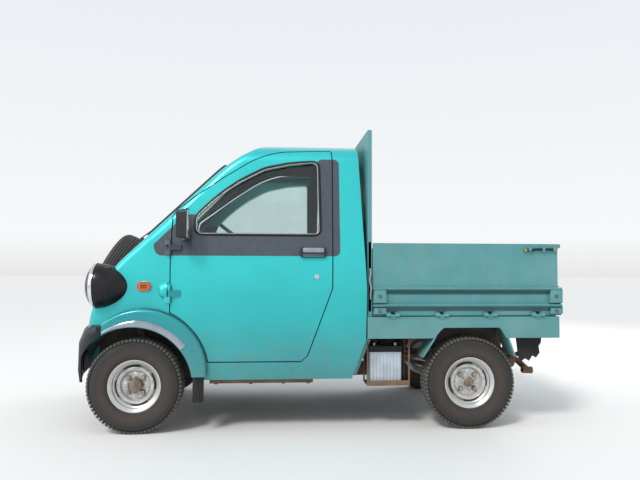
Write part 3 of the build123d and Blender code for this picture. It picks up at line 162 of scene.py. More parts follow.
def blendColour(tree, factor, first, second, mode="MIX"):
    node = put(tree, "ShaderNodeMix", data_type="RGBA", blend_type=mode)
    if isinstance(factor, (int, float)):
        node.inputs["Factor"].default_value = factor
    else:
        join(tree, factor, node.inputs["Factor"])
    for socket, value in ((node.inputs[6], first), (node.inputs[7], second)):
        if isinstance(value, tuple):
            socket.default_value = (*value, 1)
        else:
            join(tree, value, socket)
    return node.outputs[2]


def bumpOf(tree, shader, height, strength, distance):
    node = put(tree, "ShaderNodeBump")
    node.inputs["Strength"].default_value = strength
    node.inputs["Distance"].default_value = distance
    join(tree, height, node.inputs["Height"])
    join(tree, node.outputs["Normal"], shader.inputs["Normal"])


# Masks, 1 inside a region and 0 outside


def above(tree, value, limit, soft=0.0012):
    return spread(tree, value, limit - soft, limit + soft)


def below(tree, value, limit, soft=0.0012):
    return spread(tree, value, limit - soft, limit + soft, 1, 0)


def allOf(tree, *values):
    result = values[0]
    for value in values[1:]:
        result = maths(tree, "MULTIPLY", result, value)
    return result


def anyOf(tree, *values):
    result = values[0]
    for value in values[1:]:
        result = maths(tree, "MAXIMUM", result, value)
    return result


def roundedBox(tree, x, z, middle, half, radius):
    reach = [maths(tree, "SUBTRACT", maths(tree, "ABSOLUTE", maths(tree, "SUBTRACT", value, c)), h - radius)
             for value, c, h in zip((x, z), middle, half)]
    corner = put(tree, "ShaderNodeCombineXYZ")
    for socket, value in zip(corner.inputs, reach):
        join(tree, maths(tree, "MAXIMUM", value, 0.0), socket)
    length = put(tree, "ShaderNodeVectorMath", operation="LENGTH")
    join(tree, corner.outputs[0], length.inputs[0])
    return below(tree, length.outputs["Value"], radius)


def insideMask(tree, centre=(0.45, 0.0, 0.95)):
    # faces that look at the middle of the cab are its inner walls
    place = put(tree, "ShaderNodeTexCoord")
    toward = put(tree, "ShaderNodeVectorMath", operation="SUBTRACT")
    join(tree, place.outputs["Object"], toward.inputs[0])
    toward.inputs[1].default_value = (station(centre[0]), centre[1], centre[2])
    dot = put(tree, "ShaderNodeVectorMath", operation="DOT_PRODUCT")
    join(tree, toward.outputs[0], dot.inputs[0])
    join(tree, place.outputs["Normal"], dot.inputs[1])
    return maths(tree, "LESS_THAN", dot.outputs["Value"], -0.04)


# Cab paint: bright turquoise metallic with the dark belt panel round the windows, painted shade towards the sills and
# road dust low down

cabPaint = {
    # deep is the colour of the painted shade towards the sills
    "colour": (0.016, 0.55, 0.555), "deep": (0.007, 0.27, 0.30), "dust": (0.24, 0.215, 0.18),
    "flake": (0.2, 0.75, 0.76), "panel": (0.054, 0.067, 0.087), "panelPale": (0.082, 0.097, 0.118),
    "trim": (0.055, 0.058, 0.062), "metallic": 0.45, "roughness": 0.36, "coat": 0.45, "beltOut": 0.44,
    "beltLow": 0.957, "beltRear": 1.109, "pillarFront": 0.985, "pillarTop": 1.509,
    "tip": (0.146, 1.006), "tipRadius": 0.051, "slope": 1.02, "slopeAt": (0.201, 1.127), "glassLow": 1.081,
    "cornerFront": 0.330, "cornerTop": 1.185, "dustTop": 0.62,
}


def beltMask(tree, x, y, z, values):
    # belt panel with its rounded tip, the corner ahead of the glass and the pillar behind it
    back = station(values["beltRear"])
    slopeX, slopeZ = station(values["slopeAt"][0]), values["slopeAt"][1]
    line = maths(tree, "ADD", maths(tree, "MULTIPLY", maths(tree, "SUBTRACT", x, slopeX), values["slope"]), slopeZ)
    underLine = above(tree, maths(tree, "SUBTRACT", line, z), 0)
    tipX, tipZ = station(values["tip"][0]), values["tip"][1]
    tip = put(tree, "ShaderNodeCombineXYZ")
    join(tree, maths(tree, "MINIMUM", maths(tree, "SUBTRACT", x, tipX), 0.0), tip.inputs[0])
    join(tree, maths(tree, "MINIMUM", maths(tree, "SUBTRACT", z, tipZ), 0.0), tip.inputs[1])
    tipReach = put(tree, "ShaderNodeVectorMath", operation="LENGTH")
    join(tree, tip.outputs[0], tipReach.inputs[0])
    rounded = below(tree, tipReach.outputs["Value"], values["tipRadius"])
    lowBand = allOf(tree, above(tree, z, values["beltLow"]), below(tree, z, values["glassLow"]), below(tree, x, back))
    cornerX = station(values["cornerFront"])
    corner = allOf(tree, above(tree, z, values["beltLow"]), below(tree, x, cornerX),
                   below(tree, z, values["cornerTop"]))
    half = (values["beltRear"] - values["pillarFront"]) / 2
    middle = (station(values["pillarFront"]) + half, (values["pillarTop"] + values["beltLow"]) / 2)
    pillar = roundedBox(tree, x, z, middle, (half, (values["pillarTop"] - values["beltLow"]) / 2), 0.03)
    lowCorner = maths(tree, "MAXIMUM", below(tree, x, middle[0]), pillar)
    belt = allOf(tree, anyOf(tree, allOf(tree, lowBand, lowCorner), corner), underLine, rounded)
    belt = anyOf(tree, belt, allOf(tree, pillar, above(tree, x, station(values["pillarFront"]))))
    return allOf(tree, belt, above(tree, maths(tree, "ABSOLUTE", y), values["beltOut"]))


def makeCabPaint(name, values, shade=0.0, trimTop=9.0):
    material, tree, shader = newMaterial(name, metallic=values["metallic"], coatRoughness=0.08)
    vector = coords(tree)
    x, y, z = split(tree, vector)
    broad = noiseOf(tree, vector, 2.5, 3)
    flake = noiseOf(tree, vector, 900, 1)
    fine = noiseOf(tree, vector, 38, 8, 0.7)
    # painted shade and light: deeper towards the sills, lighter towards the roof, standing in for the darker reflection
    # of the ground low down
    rise = spread(tree, z, 0.3, 0.92, 0.15 - shade, 1.0 - shade)
    lit = maths(tree, "ADD", rise, spread(tree, broad, 0.35, 0.7, -0.12, 0.12))
    lit = maths(tree, "MAXIMUM", maths(tree, "MINIMUM", lit, 1.0), 0.0)
    colour = blendColour(tree, lit, values["deep"], values["colour"])
    colour = blendColour(tree, spread(tree, flake, 0.45, 0.8, 0, 0.18), colour, values["flake"])
    belt = beltMask(tree, x, y, z, values)
    panel = blendColour(tree, spread(tree, fine, 0.3, 0.8), values["panel"], values["panelPale"])
    colour = blendColour(tree, belt, colour, panel)
    # dust on the sills and behind the wheel, thinning out upwards
    low = spread(tree, z, 0.26, values["dustTop"], 0.75, 0.0)
    dusty = maths(tree, "MULTIPLY", low, spread(tree, fine, 0.35, 0.75))
    colour = blendColour(tree, dusty, colour, values["dust"])
    inner = maths(tree, "MULTIPLY", insideMask(tree), below(tree, z, trimTop))
    colour = blendColour(tree, inner, colour, values["trim"])
    join(tree, colour, shader.inputs["Base Color"])
    rough = maths(tree, "ADD", spread(tree, fine, 0.3, 0.8, values["roughness"] - 0.04, values["roughness"] + 0.06),
                  maths(tree, "MULTIPLY", maths(tree, "MAXIMUM", dusty, inner), 0.4))
    join(tree, rough, shader.inputs["Roughness"])
    bare = maths(tree, "SUBTRACT", 1.0, maths(tree, "MAXIMUM", inner, dusty))
    shine = maths(tree, "MULTIPLY", bare, values["coat"])
    join(tree, shine, shader.inputs["Coat Weight"])
    bumpOf(tree, shader, noiseOf(tree, vector, 55, 2), 0.02, 0.002)
    return material


# Bed paint: the same turquoise, faded and flat, chalky and scuffed with rust at chips; the gates also get painted shade
# below their rolled rails

# the darkest colour here is the painted shade below the gate rails
bedPaint = {"colour": (0.083, 0.285, 0.30), "chalk": (0.155, 0.37, 0.38), "rust": (0.12, 0.045, 0.02),
            "dust": (0.26, 0.23, 0.19), "roughness": 0.46, "grimeAndShade": (0.012, 0.045, 0.052), "railShadeShare": 0.8}
# heights of the painted shade bands below the gates' rolled rails
gateRailShade = ((0.655, 0.682), (0.749, 0.774))


def makeFadedPaint(name, values, rustAmount=0.72, grimeAndShade=()):
    material, tree, shader = newMaterial(name, metallic=0.1, coat=0.15, coatRoughness=0.35)
    vector = coords(tree)
    z = split(tree, vector)[2]
    broad = noiseOf(tree, vector, 5, 5)
    streak = noiseOf(tree, coords(tree, (9, 9, 1.6)), 3, 6, 0.65)
    fine = noiseOf(tree, vector, 60, 9, 0.72)
    colour = blendColour(tree, spread(tree, broad, 0.4, 0.75, 0, 0.55), values["colour"], values["chalk"])
    colour = blendColour(tree, spread(tree, streak, 0.52, 0.8, 0, 0.3), colour, values["dust"])
    chips = spread(tree, fine, rustAmount - 0.02, rustAmount + 0.02)
    colour = blendColour(tree, chips, colour, values["rust"])
    dusty = maths(tree, "MULTIPLY", spread(tree, z, 0.38, 0.66, 0.55, 0.0), spread(tree, fine, 0.35, 0.7))
    colour = blendColour(tree, dusty, colour, values["dust"])
    # painted shade on the downward slope below each rolled rail
    for low, high in grimeAndShade:
        shadedBand = allOf(tree, above(tree, z, low, 0.004), below(tree, z, high, 0.001))
        colour = blendColour(tree, maths(tree, "MULTIPLY", shadedBand, values["railShadeShare"]), colour, values["grimeAndShade"])
    join(tree, colour, shader.inputs["Base Color"])
    rough = spread(tree, streak, 0.3, 0.8, values["roughness"], values["roughness"] + 0.22)
    join(tree, rough, shader.inputs["Roughness"])
    dents = maths(tree, "ADD", noiseOf(tree, vector, 14, 3), maths(tree, "MULTIPLY", chips, -0.3))
    bumpOf(tree, shader, dents, 0.09, 0.004)
    return material


# Plain finishes share one recipe: a base colour, a second colour in patches, a fine grain and dust from above

finishes = {
    # colour, patch colour, metallic, roughness, patch scale, grain scale, grain height, dust share
    "bumperBlack": ((0.011, 0.014, 0.020), (0.020, 0.023, 0.029), 0.0, 0.44, 6, 320, 0.12, 0.08),
    "satinBlack": ((0.010, 0.010, 0.012), (0.018, 0.018, 0.02), 0.0, 0.27, 9, 420, 0.06, 0.05),
    "roughBlack": ((0.014, 0.014, 0.015), (0.028, 0.027, 0.026), 0.0, 0.55, 12, 300, 0.2, 0.2),
    "sealRubber": ((0.010, 0.010, 0.011), (0.02, 0.02, 0.021), 0.0, 0.5, 20, 260, 0.15, 0.08),
    "flapRubber": ((0.010, 0.012, 0.014), (0.026, 0.025, 0.024), 0.0, 0.62, 9, 150, 0.3, 0.15),
    "chrome": ((0.70, 0.71, 0.73), (0.66, 0.67, 0.69), 1.0, 0.1, 30, 500, 0.02, 0.0),
    # the arch band's chrome is darkened and tinted blue-grey, a painted reflection of darker surroundings
    "archChrome": ((0.40, 0.43, 0.48), (0.34, 0.37, 0.42), 1.0, 0.13, 24, 500, 0.02, 0.0),
    "brushedSteel": ((0.44, 0.44, 0.43), (0.3, 0.3, 0.29), 1.0, 0.32, 26, 500, 0.05, 0.0),
    "flapSilver": ((0.33, 0.34, 0.36), (0.25, 0.26, 0.28), 0.5, 0.36, 20, 420, 0.05, 0.0),
    "dashGrey": ((0.055, 0.058, 0.062), (0.075, 0.077, 0.08), 0.0, 0.6, 8, 240, 0.35, 0.04),
    "chassisBlack": ((0.020, 0.019, 0.018), (0.11, 0.07, 0.045), 0.1, 0.62, 7, 90, 0.3, 0.5),
    "castAlloy": ((0.17, 0.165, 0.16), (0.06, 0.05, 0.045), 0.6, 0.5, 8, 160, 0.3, 0.3),
    "rustySteel": ((0.17, 0.095, 0.055), (0.30, 0.21, 0.14), 0.2, 0.75, 14, 110, 0.5, 0.3),
    "batteryCase": ((0.50, 0.56, 0.62), (0.36, 0.40, 0.44), 0.0, 0.42, 10, 260, 0.08, 0.12),
    "brass": ((0.55, 0.36, 0.12), (0.30, 0.19, 0.08), 1.0, 0.38, 22, 300, 0.1, 0.0),
    "capBrown": ((0.15, 0.105, 0.075), (0.30, 0.25, 0.19), 0.3, 0.5, 30, 200, 0.15, 0.2),
    "mirrorGlass": ((0.82, 0.84, 0.86), (0.78, 0.8, 0.82), 1.0, 0.03, 12, 600, 0.0, 0.0),
}
settledDust = (0.24, 0.21, 0.17)

# Black plastic and rubber mirror less of the pale room than the other finishes
dullness = {"bumperBlack": 0.25, "satinBlack": 0.22, "roughBlack": 0.3, "sealRubber": 0.3, "flapRubber": 0.25}


def makeFinish(name):
    colour, patch, metallic, roughness, patchScale, grainScale, grainHeight, dustShare = finishes[name]
    material, tree, shader = newMaterial(name, metallic=metallic, specular=dullness.get(name, 0.5))
    vector = coords(tree)
    patches = noiseOf(tree, vector, patchScale, 7, 0.65)
    tone = blendColour(tree, spread(tree, patches, 0.42, 0.72), colour, patch)
    if dustShare:
        place = put(tree, "ShaderNodeTexCoord")
        upward = split(tree, place.outputs["Normal"])[2]
        settled = maths(tree, "MULTIPLY", spread(tree, upward, -0.1, 0.9, 0.25, 1.0),
                        spread(tree, patches, 0.3, 0.65))
        tone = blendColour(tree, maths(tree, "MULTIPLY", settled, dustShare), tone, settledDust)
    join(tree, tone, shader.inputs["Base Color"])
    rough = spread(tree, patches, 0.3, 0.75, roughness * 0.85, min(roughness * 1.35, 1))
    join(tree, rough, shader.inputs["Roughness"])
    if grainHeight:
        bumpOf(tree, shader, noiseOf(tree, vector, grainScale, 3), grainHeight, 0.0008)
    return material


hingeLeaves = {"rear": 0.262, "panelLow": 0.96, "panelHigh": 1.04, "paintLow": 0.70, "paintHigh": 0.81,
               "panel": (0.045, 0.053, 0.066)}


def makeFittings(values):
    # black plastic, but the hinge leaves carry the colour of the panel that they are screwed to
    material, tree, shader = newMaterial("doorFittings", roughness=0.32)
    vector = coords(tree)
    x, across, z = split(tree, vector)
    patches = noiseOf(tree, vector, 20, 5)
    leaf = below(tree, x, station(values["rear"]))
    panel = allOf(tree, leaf, above(tree, z, values["panelLow"]), below(tree, z, values["panelHigh"]))
    painted = allOf(tree, leaf, above(tree, z, values["paintLow"]), below(tree, z, values["paintHigh"]))
    tone = blendColour(tree, spread(tree, patches, 0.4, 0.7), *finishes["satinBlack"][:2])
    tone = blendColour(tree, panel, tone, values["panel"])
    # the painted band takes the cab paint's deep tone, the colour of its painted shade low on the body
    tone = blendColour(tree, painted, tone, cabPaint["deep"])
    join(tree, tone, shader.inputs["Base Color"])
    bumpOf(tree, shader, noiseOf(tree, vector, 420, 3), 0.06, 0.0008)
    return material


def makeGlass(name, tint, film):
    material, tree, shader = newMaterial(name, transmission=1.0, ior=1.45)
    vector = coords(tree)
    smear = noiseOf(tree, vector, 7, 6, 0.6)
    join(tree, blendColour(tree, spread(tree, smear, 0.4, 0.8), tint, tuple(c * 0.93 for c in tint)),
         shader.inputs["Base Color"])
    join(tree, spread(tree, smear, 0.45, 0.85, 0.0, film), shader.inputs["Roughness"])
    return material


def makeLens(name, colour, deep, ribScale, roughness=0.14):
    material, tree, shader = newMaterial(name, roughness=roughness, coat=0.6, coatRoughness=0.05)
    vector = coords(tree)
    wave = put(tree, "ShaderNodeTexWave", bands_direction="X")
    wave.inputs["Scale"].default_value = ribScale
    join(tree, vector, wave.inputs["Vector"])
    tone = blendColour(tree, spread(tree, wave.outputs["Fac"], 0.1, 0.6), deep, colour)
    join(tree, tone, shader.inputs["Base Color"])
    bumpOf(tree, shader, wave.outputs["Fac"], 0.3, 0.001)
    return material


# Wheel paint: silver with brown dirt gathered in the nave and behind the rings

wheelPaint = {"silver": (0.60, 0.60, 0.59), "dirt": (0.17, 0.13, 0.09), "specks": (0.12, 0.06, 0.03),
              "naveRadius": 0.072, "ringRadius": 0.1}


def makeWheelPaint(name, centre, values):
    material, tree, shader = newMaterial(name, metallic=0.55, coat=0.25, coatRoughness=0.2)
    vector = coords(tree, centre=centre)
    reach = put(tree, "ShaderNodeVectorMath", operation="LENGTH")
    join(tree, vector, reach.inputs[0])
    fine = noiseOf(tree, vector, 34, 8, 0.7)
    specks = noiseOf(tree, vector, 150, 4, 0.6)
    inNave = spread(tree, reach.outputs["Value"], 0.05, values["naveRadius"] + 0.008, 0.55, 0.0)
    atRing = maths(tree, "MULTIPLY", spread(tree, reach.outputs["Value"], 0.088, values["ringRadius"]),
                   spread(tree, reach.outputs["Value"], values["ringRadius"], 0.112, 1, 0))
    caked = maths(tree, "ADD", maths(tree, "ADD", inNave, 0.14), maths(tree, "MULTIPLY", atRing, 0.5))
    grimeAndShade = maths(tree, "MULTIPLY", caked, spread(tree, fine, 0.38, 0.66))
    tone = blendColour(tree, grimeAndShade, values["silver"], values["dirt"])
    tone = blendColour(tree, spread(tree, specks, 0.66, 0.7, 0, 0.5), tone, values["specks"])
    join(tree, tone, shader.inputs["Base Color"])
    join(tree, spread(tree, fine, 0.3, 0.75, 0.24, 0.5), shader.inputs["Roughness"])
    bumpOf(tree, shader, fine, 0.06, 0.001)
    return material


# Tyre rubber reads one attribute of the mesh: how far a point is from the axle

tyreRubber = {"black": (0.024, 0.022, 0.021), "brown": (0.058, 0.043, 0.034), "dust": (0.105, 0.094, 0.081),
              "treadRadius": 0.2425}


def makeTyreRubber(name, values):
    material, tree, shader = newMaterial(name, roughness=0.78, sheen=0.08, sheenRoughness=0.5)
    vector = coords(tree)
    radial = put(tree, "ShaderNodeAttribute", attribute_name="radial").outputs["Fac"]
    patches = noiseOf(tree, vector, 8, 6, 0.65)
    fine = noiseOf(tree, vector, 70, 6, 0.7)
    band = maths(tree, "MULTIPLY", spread(tree, radial, 0.140, 0.168), spread(tree, radial, 0.178, 0.218, 1, 0))
    worn = maths(tree, "MULTIPLY", band, spread(tree, patches, 0.25, 0.6))
    tone = blendColour(tree, worn, values["black"], values["brown"])
    onTread = above(tree, radial, values["treadRadius"], 0.003)
    crown = maths(tree, "MULTIPLY", onTread, spread(tree, fine, 0.25, 0.6, 0.25, 1))
    tone = blendColour(tree, crown, tone, values["dust"])
    tone = blendColour(tree, spread(tree, fine, 0.6, 0.75, 0, 0.35), tone, values["dust"])
    join(tree, tone, shader.inputs["Base Color"])
    join(tree, spread(tree, patches, 0.3, 0.7, 0.66, 0.88), shader.inputs["Roughness"])
    bumpOf(tree, shader, fine, 0.2, 0.001)
    return material


spareRubber = dict(tyreRubber, brown=(0.03, 0.028, 0.027), dust=(0.045, 0.042, 0.040))

# Seat cloth: grey woven face in bands, with a darker edge

seatCloth = {"light": (0.20, 0.21, 0.225), "dark": (0.10, 0.104, 0.112), "soil": (0.15, 0.14, 0.125), "thread": 1500}


def makeSeatCloth(values):
    material, tree, shader = newMaterial("wovenGrey", roughness=0.9, sheen=0.4, sheenRoughness=0.4)
    vector = coords(tree)
    heights = []
    for direction in ("X", "Y", "Z"):
        wave = put(tree, "ShaderNodeTexWave", bands_direction=direction)
        wave.inputs["Scale"].default_value = values["thread"] / 10
        wave.inputs["Distortion"].default_value = 0.6
        join(tree, vector, wave.inputs["Vector"])
        heights.append(wave.outputs["Fac"])
    weave = maths(tree, "MULTIPLY", maths(tree, "ADD", heights[0], heights[2]), heights[1])
    patches = noiseOf(tree, vector, 6, 5)
    tone = blendColour(tree, spread(tree, weave, 0.1, 1.1), values["dark"], values["light"])
    tone = blendColour(tree, spread(tree, patches, 0.45, 0.8, 0, 0.35), tone, values["soil"])
    join(tree, tone, shader.inputs["Base Color"])
    bumpOf(tree, shader, weave, 0.4, 0.0008)
    return material


# Stage: a pale floor and a pale sky dome that the glass and the metal see too

stage = {"floor": (0.80, 0.79, 0.775), "floorHalf": 40, "light": (0.88, 0.94, 1.0), "strength": 0.72}
skyStops = (
    # height on the dome from 0 below to 1 above, colour
    (0.0, (0.62, 0.61, 0.60)), (0.49, (0.80, 0.80, 0.79)), (0.52, (0.93, 0.94, 0.95)), (0.75, (0.80, 0.84, 0.89)),
    (1.0, (0.68, 0.74, 0.82)),
)


def makeStage(values):
    material = newMaterial("paleFloor", roughness=0.9, colour=values["floor"])[0]
    bm = bmesh.new()
    bmesh.ops.create_grid(bm, x_segments=1, y_segments=1, size=values["floorHalf"])
    mesh = bpy.data.meshes.new("floor")
    bm.to_mesh(mesh)
    bm.free()
    mesh.materials.append(material)
    floor = bpy.data.objects.new("floor", mesh)
    bpy.context.scene.collection.objects.link(floor)
    world = bpy.data.worlds.new("studio")
    bpy.context.scene.world = world
    world.use_nodes = True
    tree = world.node_tree
    background = tree.nodes["Background"]
    backdrop = put(tree, "ShaderNodeBackground")
    place = put(tree, "ShaderNodeTexCoord")
    height = split(tree, place.outputs["Generated"])[2]
    sky = put(tree, "ShaderNodeValToRGB")
    while len(sky.color_ramp.elements) < len(skyStops):
        sky.color_ramp.elements.new(0.5)
    for element, (position, tone) in zip(sky.color_ramp.elements, skyStops):
        element.position = position
        element.color = (*tone, 1)
    join(tree, spread(tree, height, -1, 1), sky.inputs["Fac"])
    join(tree, sky.outputs["Color"], backdrop.inputs["Color"])
    background.inputs["Color"].default_value = (*values["light"], 1)
    background.inputs["Strength"].default_value = values["strength"]
    path = put(tree, "ShaderNodeLightPath")
    seen = anyOf(tree, path.outputs["Is Camera Ray"], path.outputs["Is Glossy Ray"],
                 path.outputs["Is Transmission Ray"])
    mixer = put(tree, "ShaderNodeMixShader")
    join(tree, seen, mixer.inputs[0])
    join(tree, background.outputs[0], mixer.inputs[1])
    join(tree, backdrop.outputs[0], mixer.inputs[2])
    join(tree, mixer.outputs[0], tree.nodes["World Output"].inputs["Surface"])


lamps = {
    # place, size, power, colour: a fill from ahead and one for the far rear
    "fill": ((-5.2, -2.2, 2.8), 3.5, 70, (0.95, 0.98, 1.0)),
    "rim": ((4.2, 3.4, 3.8), 3.0, 90, (0.97, 0.99, 1.0)),
}


def makeLamps(table):
    for name, (place, size, power, colour) in table.items():
        data = bpy.data.lights.new(name, "AREA")
        data.shape = "DISK"
        data.size = size
        data.energy = power
        data.color = colour
        lamp = bpy.data.objects.new(name, data)
        bpy.context.scene.collection.objects.link(lamp)
        lamp.location = place
        lamp.rotation_euler = (Vector((0, 0, 0.6)) - Vector(place)).to_track_quat("-Z", "Y").to_euler()


sun = {"strength": 1.75, "angle": 14, "from": (-0.42, -0.62, 0.80), "colour": (1.0, 0.97, 0.93)}


def makeSun(values):
    data = bpy.data.lights.new("sun", "SUN")
    data.energy = values["strength"]
    data.angle = radians(values["angle"])
    data.color = values["colour"]
    lamp = bpy.data.objects.new("sun", data)
    bpy.context.scene.collection.objects.link(lamp)
    lamp.rotation_euler = (-Vector(values["from"])).to_track_quat("-Z", "Y").to_euler()


makeStage(stage)
makeLamps(lamps)
makeSun(sun)

materials = {name: makeFinish(name) for name in finishes}
materials["cabTurquoise"] = makeCabPaint("cabTurquoise", cabPaint)
materials["doorTurquoise"] = makeCabPaint("doorTurquoise", cabPaint, trimTop=1.09)
# the fenders take a darker copy of the cab paint, painted shade
materials["fenderTurquoiseShaded"] = makeCabPaint("fenderTurquoiseShaded", cabPaint, shade=0.55)
materials["bedTurquoise"] = makeFadedPaint("bedTurquoise", bedPaint)
# the gates' paint adds the painted shade bands below the rails
materials["gateTurquoise"] = makeFadedPaint("gateTurquoise", bedPaint, grimeAndShade=gateRailShade)
materials["doorFittings"] = makeFittings(hingeLeaves)
materials["windowGlass"] = makeGlass("windowGlass", (0.72, 0.83, 0.82), 0.004)
materials["lampGlass"] = makeGlass("lampGlass", (0.90, 0.93, 0.94), 0.01)
materials["amberLens"] = makeLens("amberLens", (0.62, 0.13, 0.01), (0.25, 0.04, 0.008), 26)
materials["redLens"] = makeLens("redLens", (0.50, 0.008, 0.008), (0.16, 0.004, 0.004), 30)
materials["dustyTyre"] = makeTyreRubber("dustyTyre", tyreRubber)
materials["spareRubber"] = makeTyreRubber("spareRubber", spareRubber)
materials["wovenGrey"] = makeSeatCloth(seatCloth)
print("materials made")

# Dress the CAD nodes: each gets its finish and a smooth shade that stops at its real edges

nodeFinish = {
    "cab_shell": "cabTurquoise", "door_left": "doorTurquoise", "door_right": "doorTurquoise",
    "front_fenders": "fenderTurquoiseShaded", "cab_glass": "windowGlass", "door_left_glass": "windowGlass",
    "door_right_glass": "windowGlass", "cab_floor": "chassisBlack", "front_bumper": "bumperBlack",
    "headlamp_pods": "satinBlack", "headlamp_lenses": "lampGlass", "turn_lamps": "amberLens",
    "door_left_fittings": "doorFittings", "door_right_fittings": "doorFittings", "dashboard": "dashGrey",
    "steering_wheel": "roughBlack", "seat_cushions": "wovenGrey", "seat_backs": "wovenGrey",
    "knuckle_left": "chassisBlack", "knuckle_right": "chassisBlack", "front_suspension": "chassisBlack",
    "ladder_frame": "chassisBlack", "rear_axle": "chassisBlack", "engine_block": "castAlloy",
    "bed_floor": "bedTurquoise", "headboard_guard": "bedTurquoise", "side_gate_left": "gateTurquoise",
    "side_gate_right": "gateTurquoise", "tailgate": "gateTurquoise", "tail_lamps": "redLens",
    "battery": "batteryCase", "battery_tray": "rustySteel", "fuel_tank": "roughBlack", "exhaust": "rustySteel",
    "mud_flaps": "flapRubber", "spare_tyre": "spareRubber", "spare_rim": "brushedSteel",
}
for corner, side in wheelCorners:
    nodeFinish["tyre_" + corner] = "dustyTyre"


def middleOf(node):
    low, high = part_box(node)
    return (low + high) / 2


def dressNode(name, material):
    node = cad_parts[name]
    mesh = node.data
    mesh.materials.clear()
    mesh.materials.append(material)
    if "custom_normal" in mesh.attributes:
        mesh.attributes.remove(mesh.attributes["custom_normal"])
    mesh.shade_smooth()
    weld = node.modifiers.new("weld", "WELD")
    weld.merge_threshold = 0.00002
    edges = node.modifiers.new("edges", "EDGE_SPLIT")
    edges.split_angle = radians(32)


for nodeName, finishName in nodeFinish.items():
    dressNode(nodeName, materials[finishName])
for nodeName in ["rim_" + corner for corner, side in wheelCorners] + ["spare_rim"]:
    paint = makeWheelPaint("wheelSilver_" + nodeName, middleOf(nodeName), wheelPaint)
    materials[nodeName] = paint
    dressNode(nodeName, paint)
print("CAD nodes dressed")

# Mesh helpers: every piece is built where it stands, with its object at the origin


def finishPiece(bm, name, material, body, angle=35):
    mesh = bpy.data.meshes.new(name)
    bm.to_mesh(mesh)
    bm.free()
    piece = bpy.data.objects.new(name, mesh)
    bpy.context.scene.collection.objects.link(piece)
    mesh.materials.append(materials[material])
    mesh.shade_smooth()
    mesh.set_sharp_from_angle(angle=radians(angle))
    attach(piece, body)
    return piece


def bevelAll(bm, width, segments=2, angle=25):
    sharp = [e for e in bm.edges if len(e.link_faces) == 2 and e.calc_face_angle() > radians(angle)]
    bmesh.ops.bevel(bm, geom=sharp, offset=width, offset_type="OFFSET", segments=segments, profile=0.5,
                    affect="EDGES", material=-1)


def addBox(bm, low, high, bevel=0.0, segments=2):
    part = bmesh.new()
    bmesh.ops.create_cube(part, size=1)
    low, high = Vector(low), Vector(high)
    bmesh.ops.scale(part, vec=high - low, verts=part.verts)
    bmesh.ops.translate(part, vec=(low + high) / 2, verts=part.verts)
    if bevel:
        bevelAll(part, bevel, segments)
    addMesh(bm, part)


def addMesh(bm, part, matrix=None):
    if matrix is not None:
        bmesh.ops.transform(part, matrix=matrix, verts=part.verts)
    mesh = bpy.data.meshes.new("scratch")
    part.to_mesh(mesh)
    part.free()
    bm.from_mesh(mesh)
    bpy.data.meshes.remove(mesh)


def thicken(bm, faces, push):
    # pushes the faces out along a vector and closes the sides
    pushed = bmesh.ops.extrude_face_region(bm, geom=faces)
    moved = [item for item in pushed["geom"] if isinstance(item, bmesh.types.BMVert)]
    bmesh.ops.translate(bm, vec=push, verts=moved)
    bmesh.ops.recalc_face_normals(bm, faces=bm.faces)


def slab(sign, y, thick):
    # the low and the high y of a plate that starts at y on one side and is thick outwards
    return sorted((sign * y, sign * (y + thick)))


def turnedPart(profile, steps=64):
    # profile is (radius, height) points, spun about z; a point on the axis closes the end
    part = bmesh.new()
    points = [part.verts.new((radius, 0, height)) for radius, height in profile]
    edges = [part.edges.new(pair) for pair in zip(points, points[1:])]
    bmesh.ops.spin(part, geom=points + edges, cent=(0, 0, 0), axis=(0, 0, 1), angle=tau, steps=steps, use_merge=True)
    bmesh.ops.remove_doubles(part, verts=part.verts, dist=0.00001)
    bmesh.ops.recalc_face_normals(part, faces=part.faces)
    return part


def turnedRing(profile, steps=64):
    return turnedPart(list(profile) + [profile[0]], steps)


def facing(place, direction, roll=(0, 0, 1)):
    # a frame at place whose z axis points along direction
    z = Vector(direction).normalized()
    x = Vector(roll).cross(z)
    if x.length < 0.001:
        x = Vector((1, 0, 0))
    x.normalize()
    turn = Matrix((x, z.cross(x), z)).transposed().to_4x4()
    return Matrix.Translation(place) @ turn


def tubeMesh(points, radius, closed=False, smooth=False, segments=8):
    curve = bpy.data.curves.new("scratch", "CURVE")
    curve.dimensions = "3D"
    curve.bevel_depth = radius
    curve.bevel_resolution = max(segments // 4, 1)
    curve.use_fill_caps = not closed
    line = curve.splines.new("NURBS" if smooth else "POLY")
    line.points.add(len(points) - 1)
    for target, point in zip(line.points, points):
        target.co = (*point, 1)
    line.use_cyclic_u = closed
    if smooth:
        line.order_u = 3
        line.use_endpoint_u = not closed
        line.resolution_u = 8
    holder = bpy.data.objects.new("scratch", curve)
    bpy.context.scene.collection.objects.link(holder)
    bpy.context.view_layer.update()
    mesh = bpy.data.meshes.new_from_object(holder.evaluated_get(bpy.context.evaluated_depsgraph_get()))
    bm = bmesh.new()
    bm.from_mesh(mesh)
    bpy.data.objects.remove(holder)
    bpy.data.curves.remove(curve)
    bpy.data.meshes.remove(mesh)
    bmesh.ops.remove_doubles(bm, verts=bm.verts, dist=0.00001)
    bmesh.ops.recalc_face_normals(bm, faces=bm.faces)
    return bm


def tubePiece(name, points, radius, material, body, closed=False, smooth=False, segments=8):
    return finishPiece(tubeMesh(points, radius, closed, smooth, segments), name, material, body, angle=50)


skinTrees = {}


def skinTree(node):
    if node not in skinTrees:
        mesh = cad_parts[node].data
        skinTrees[node] = BVHTree.FromPolygons([v.co.copy() for v in mesh.vertices],
                                               [tuple(p.vertices) for p in mesh.polygons])
    return skinTrees[node]


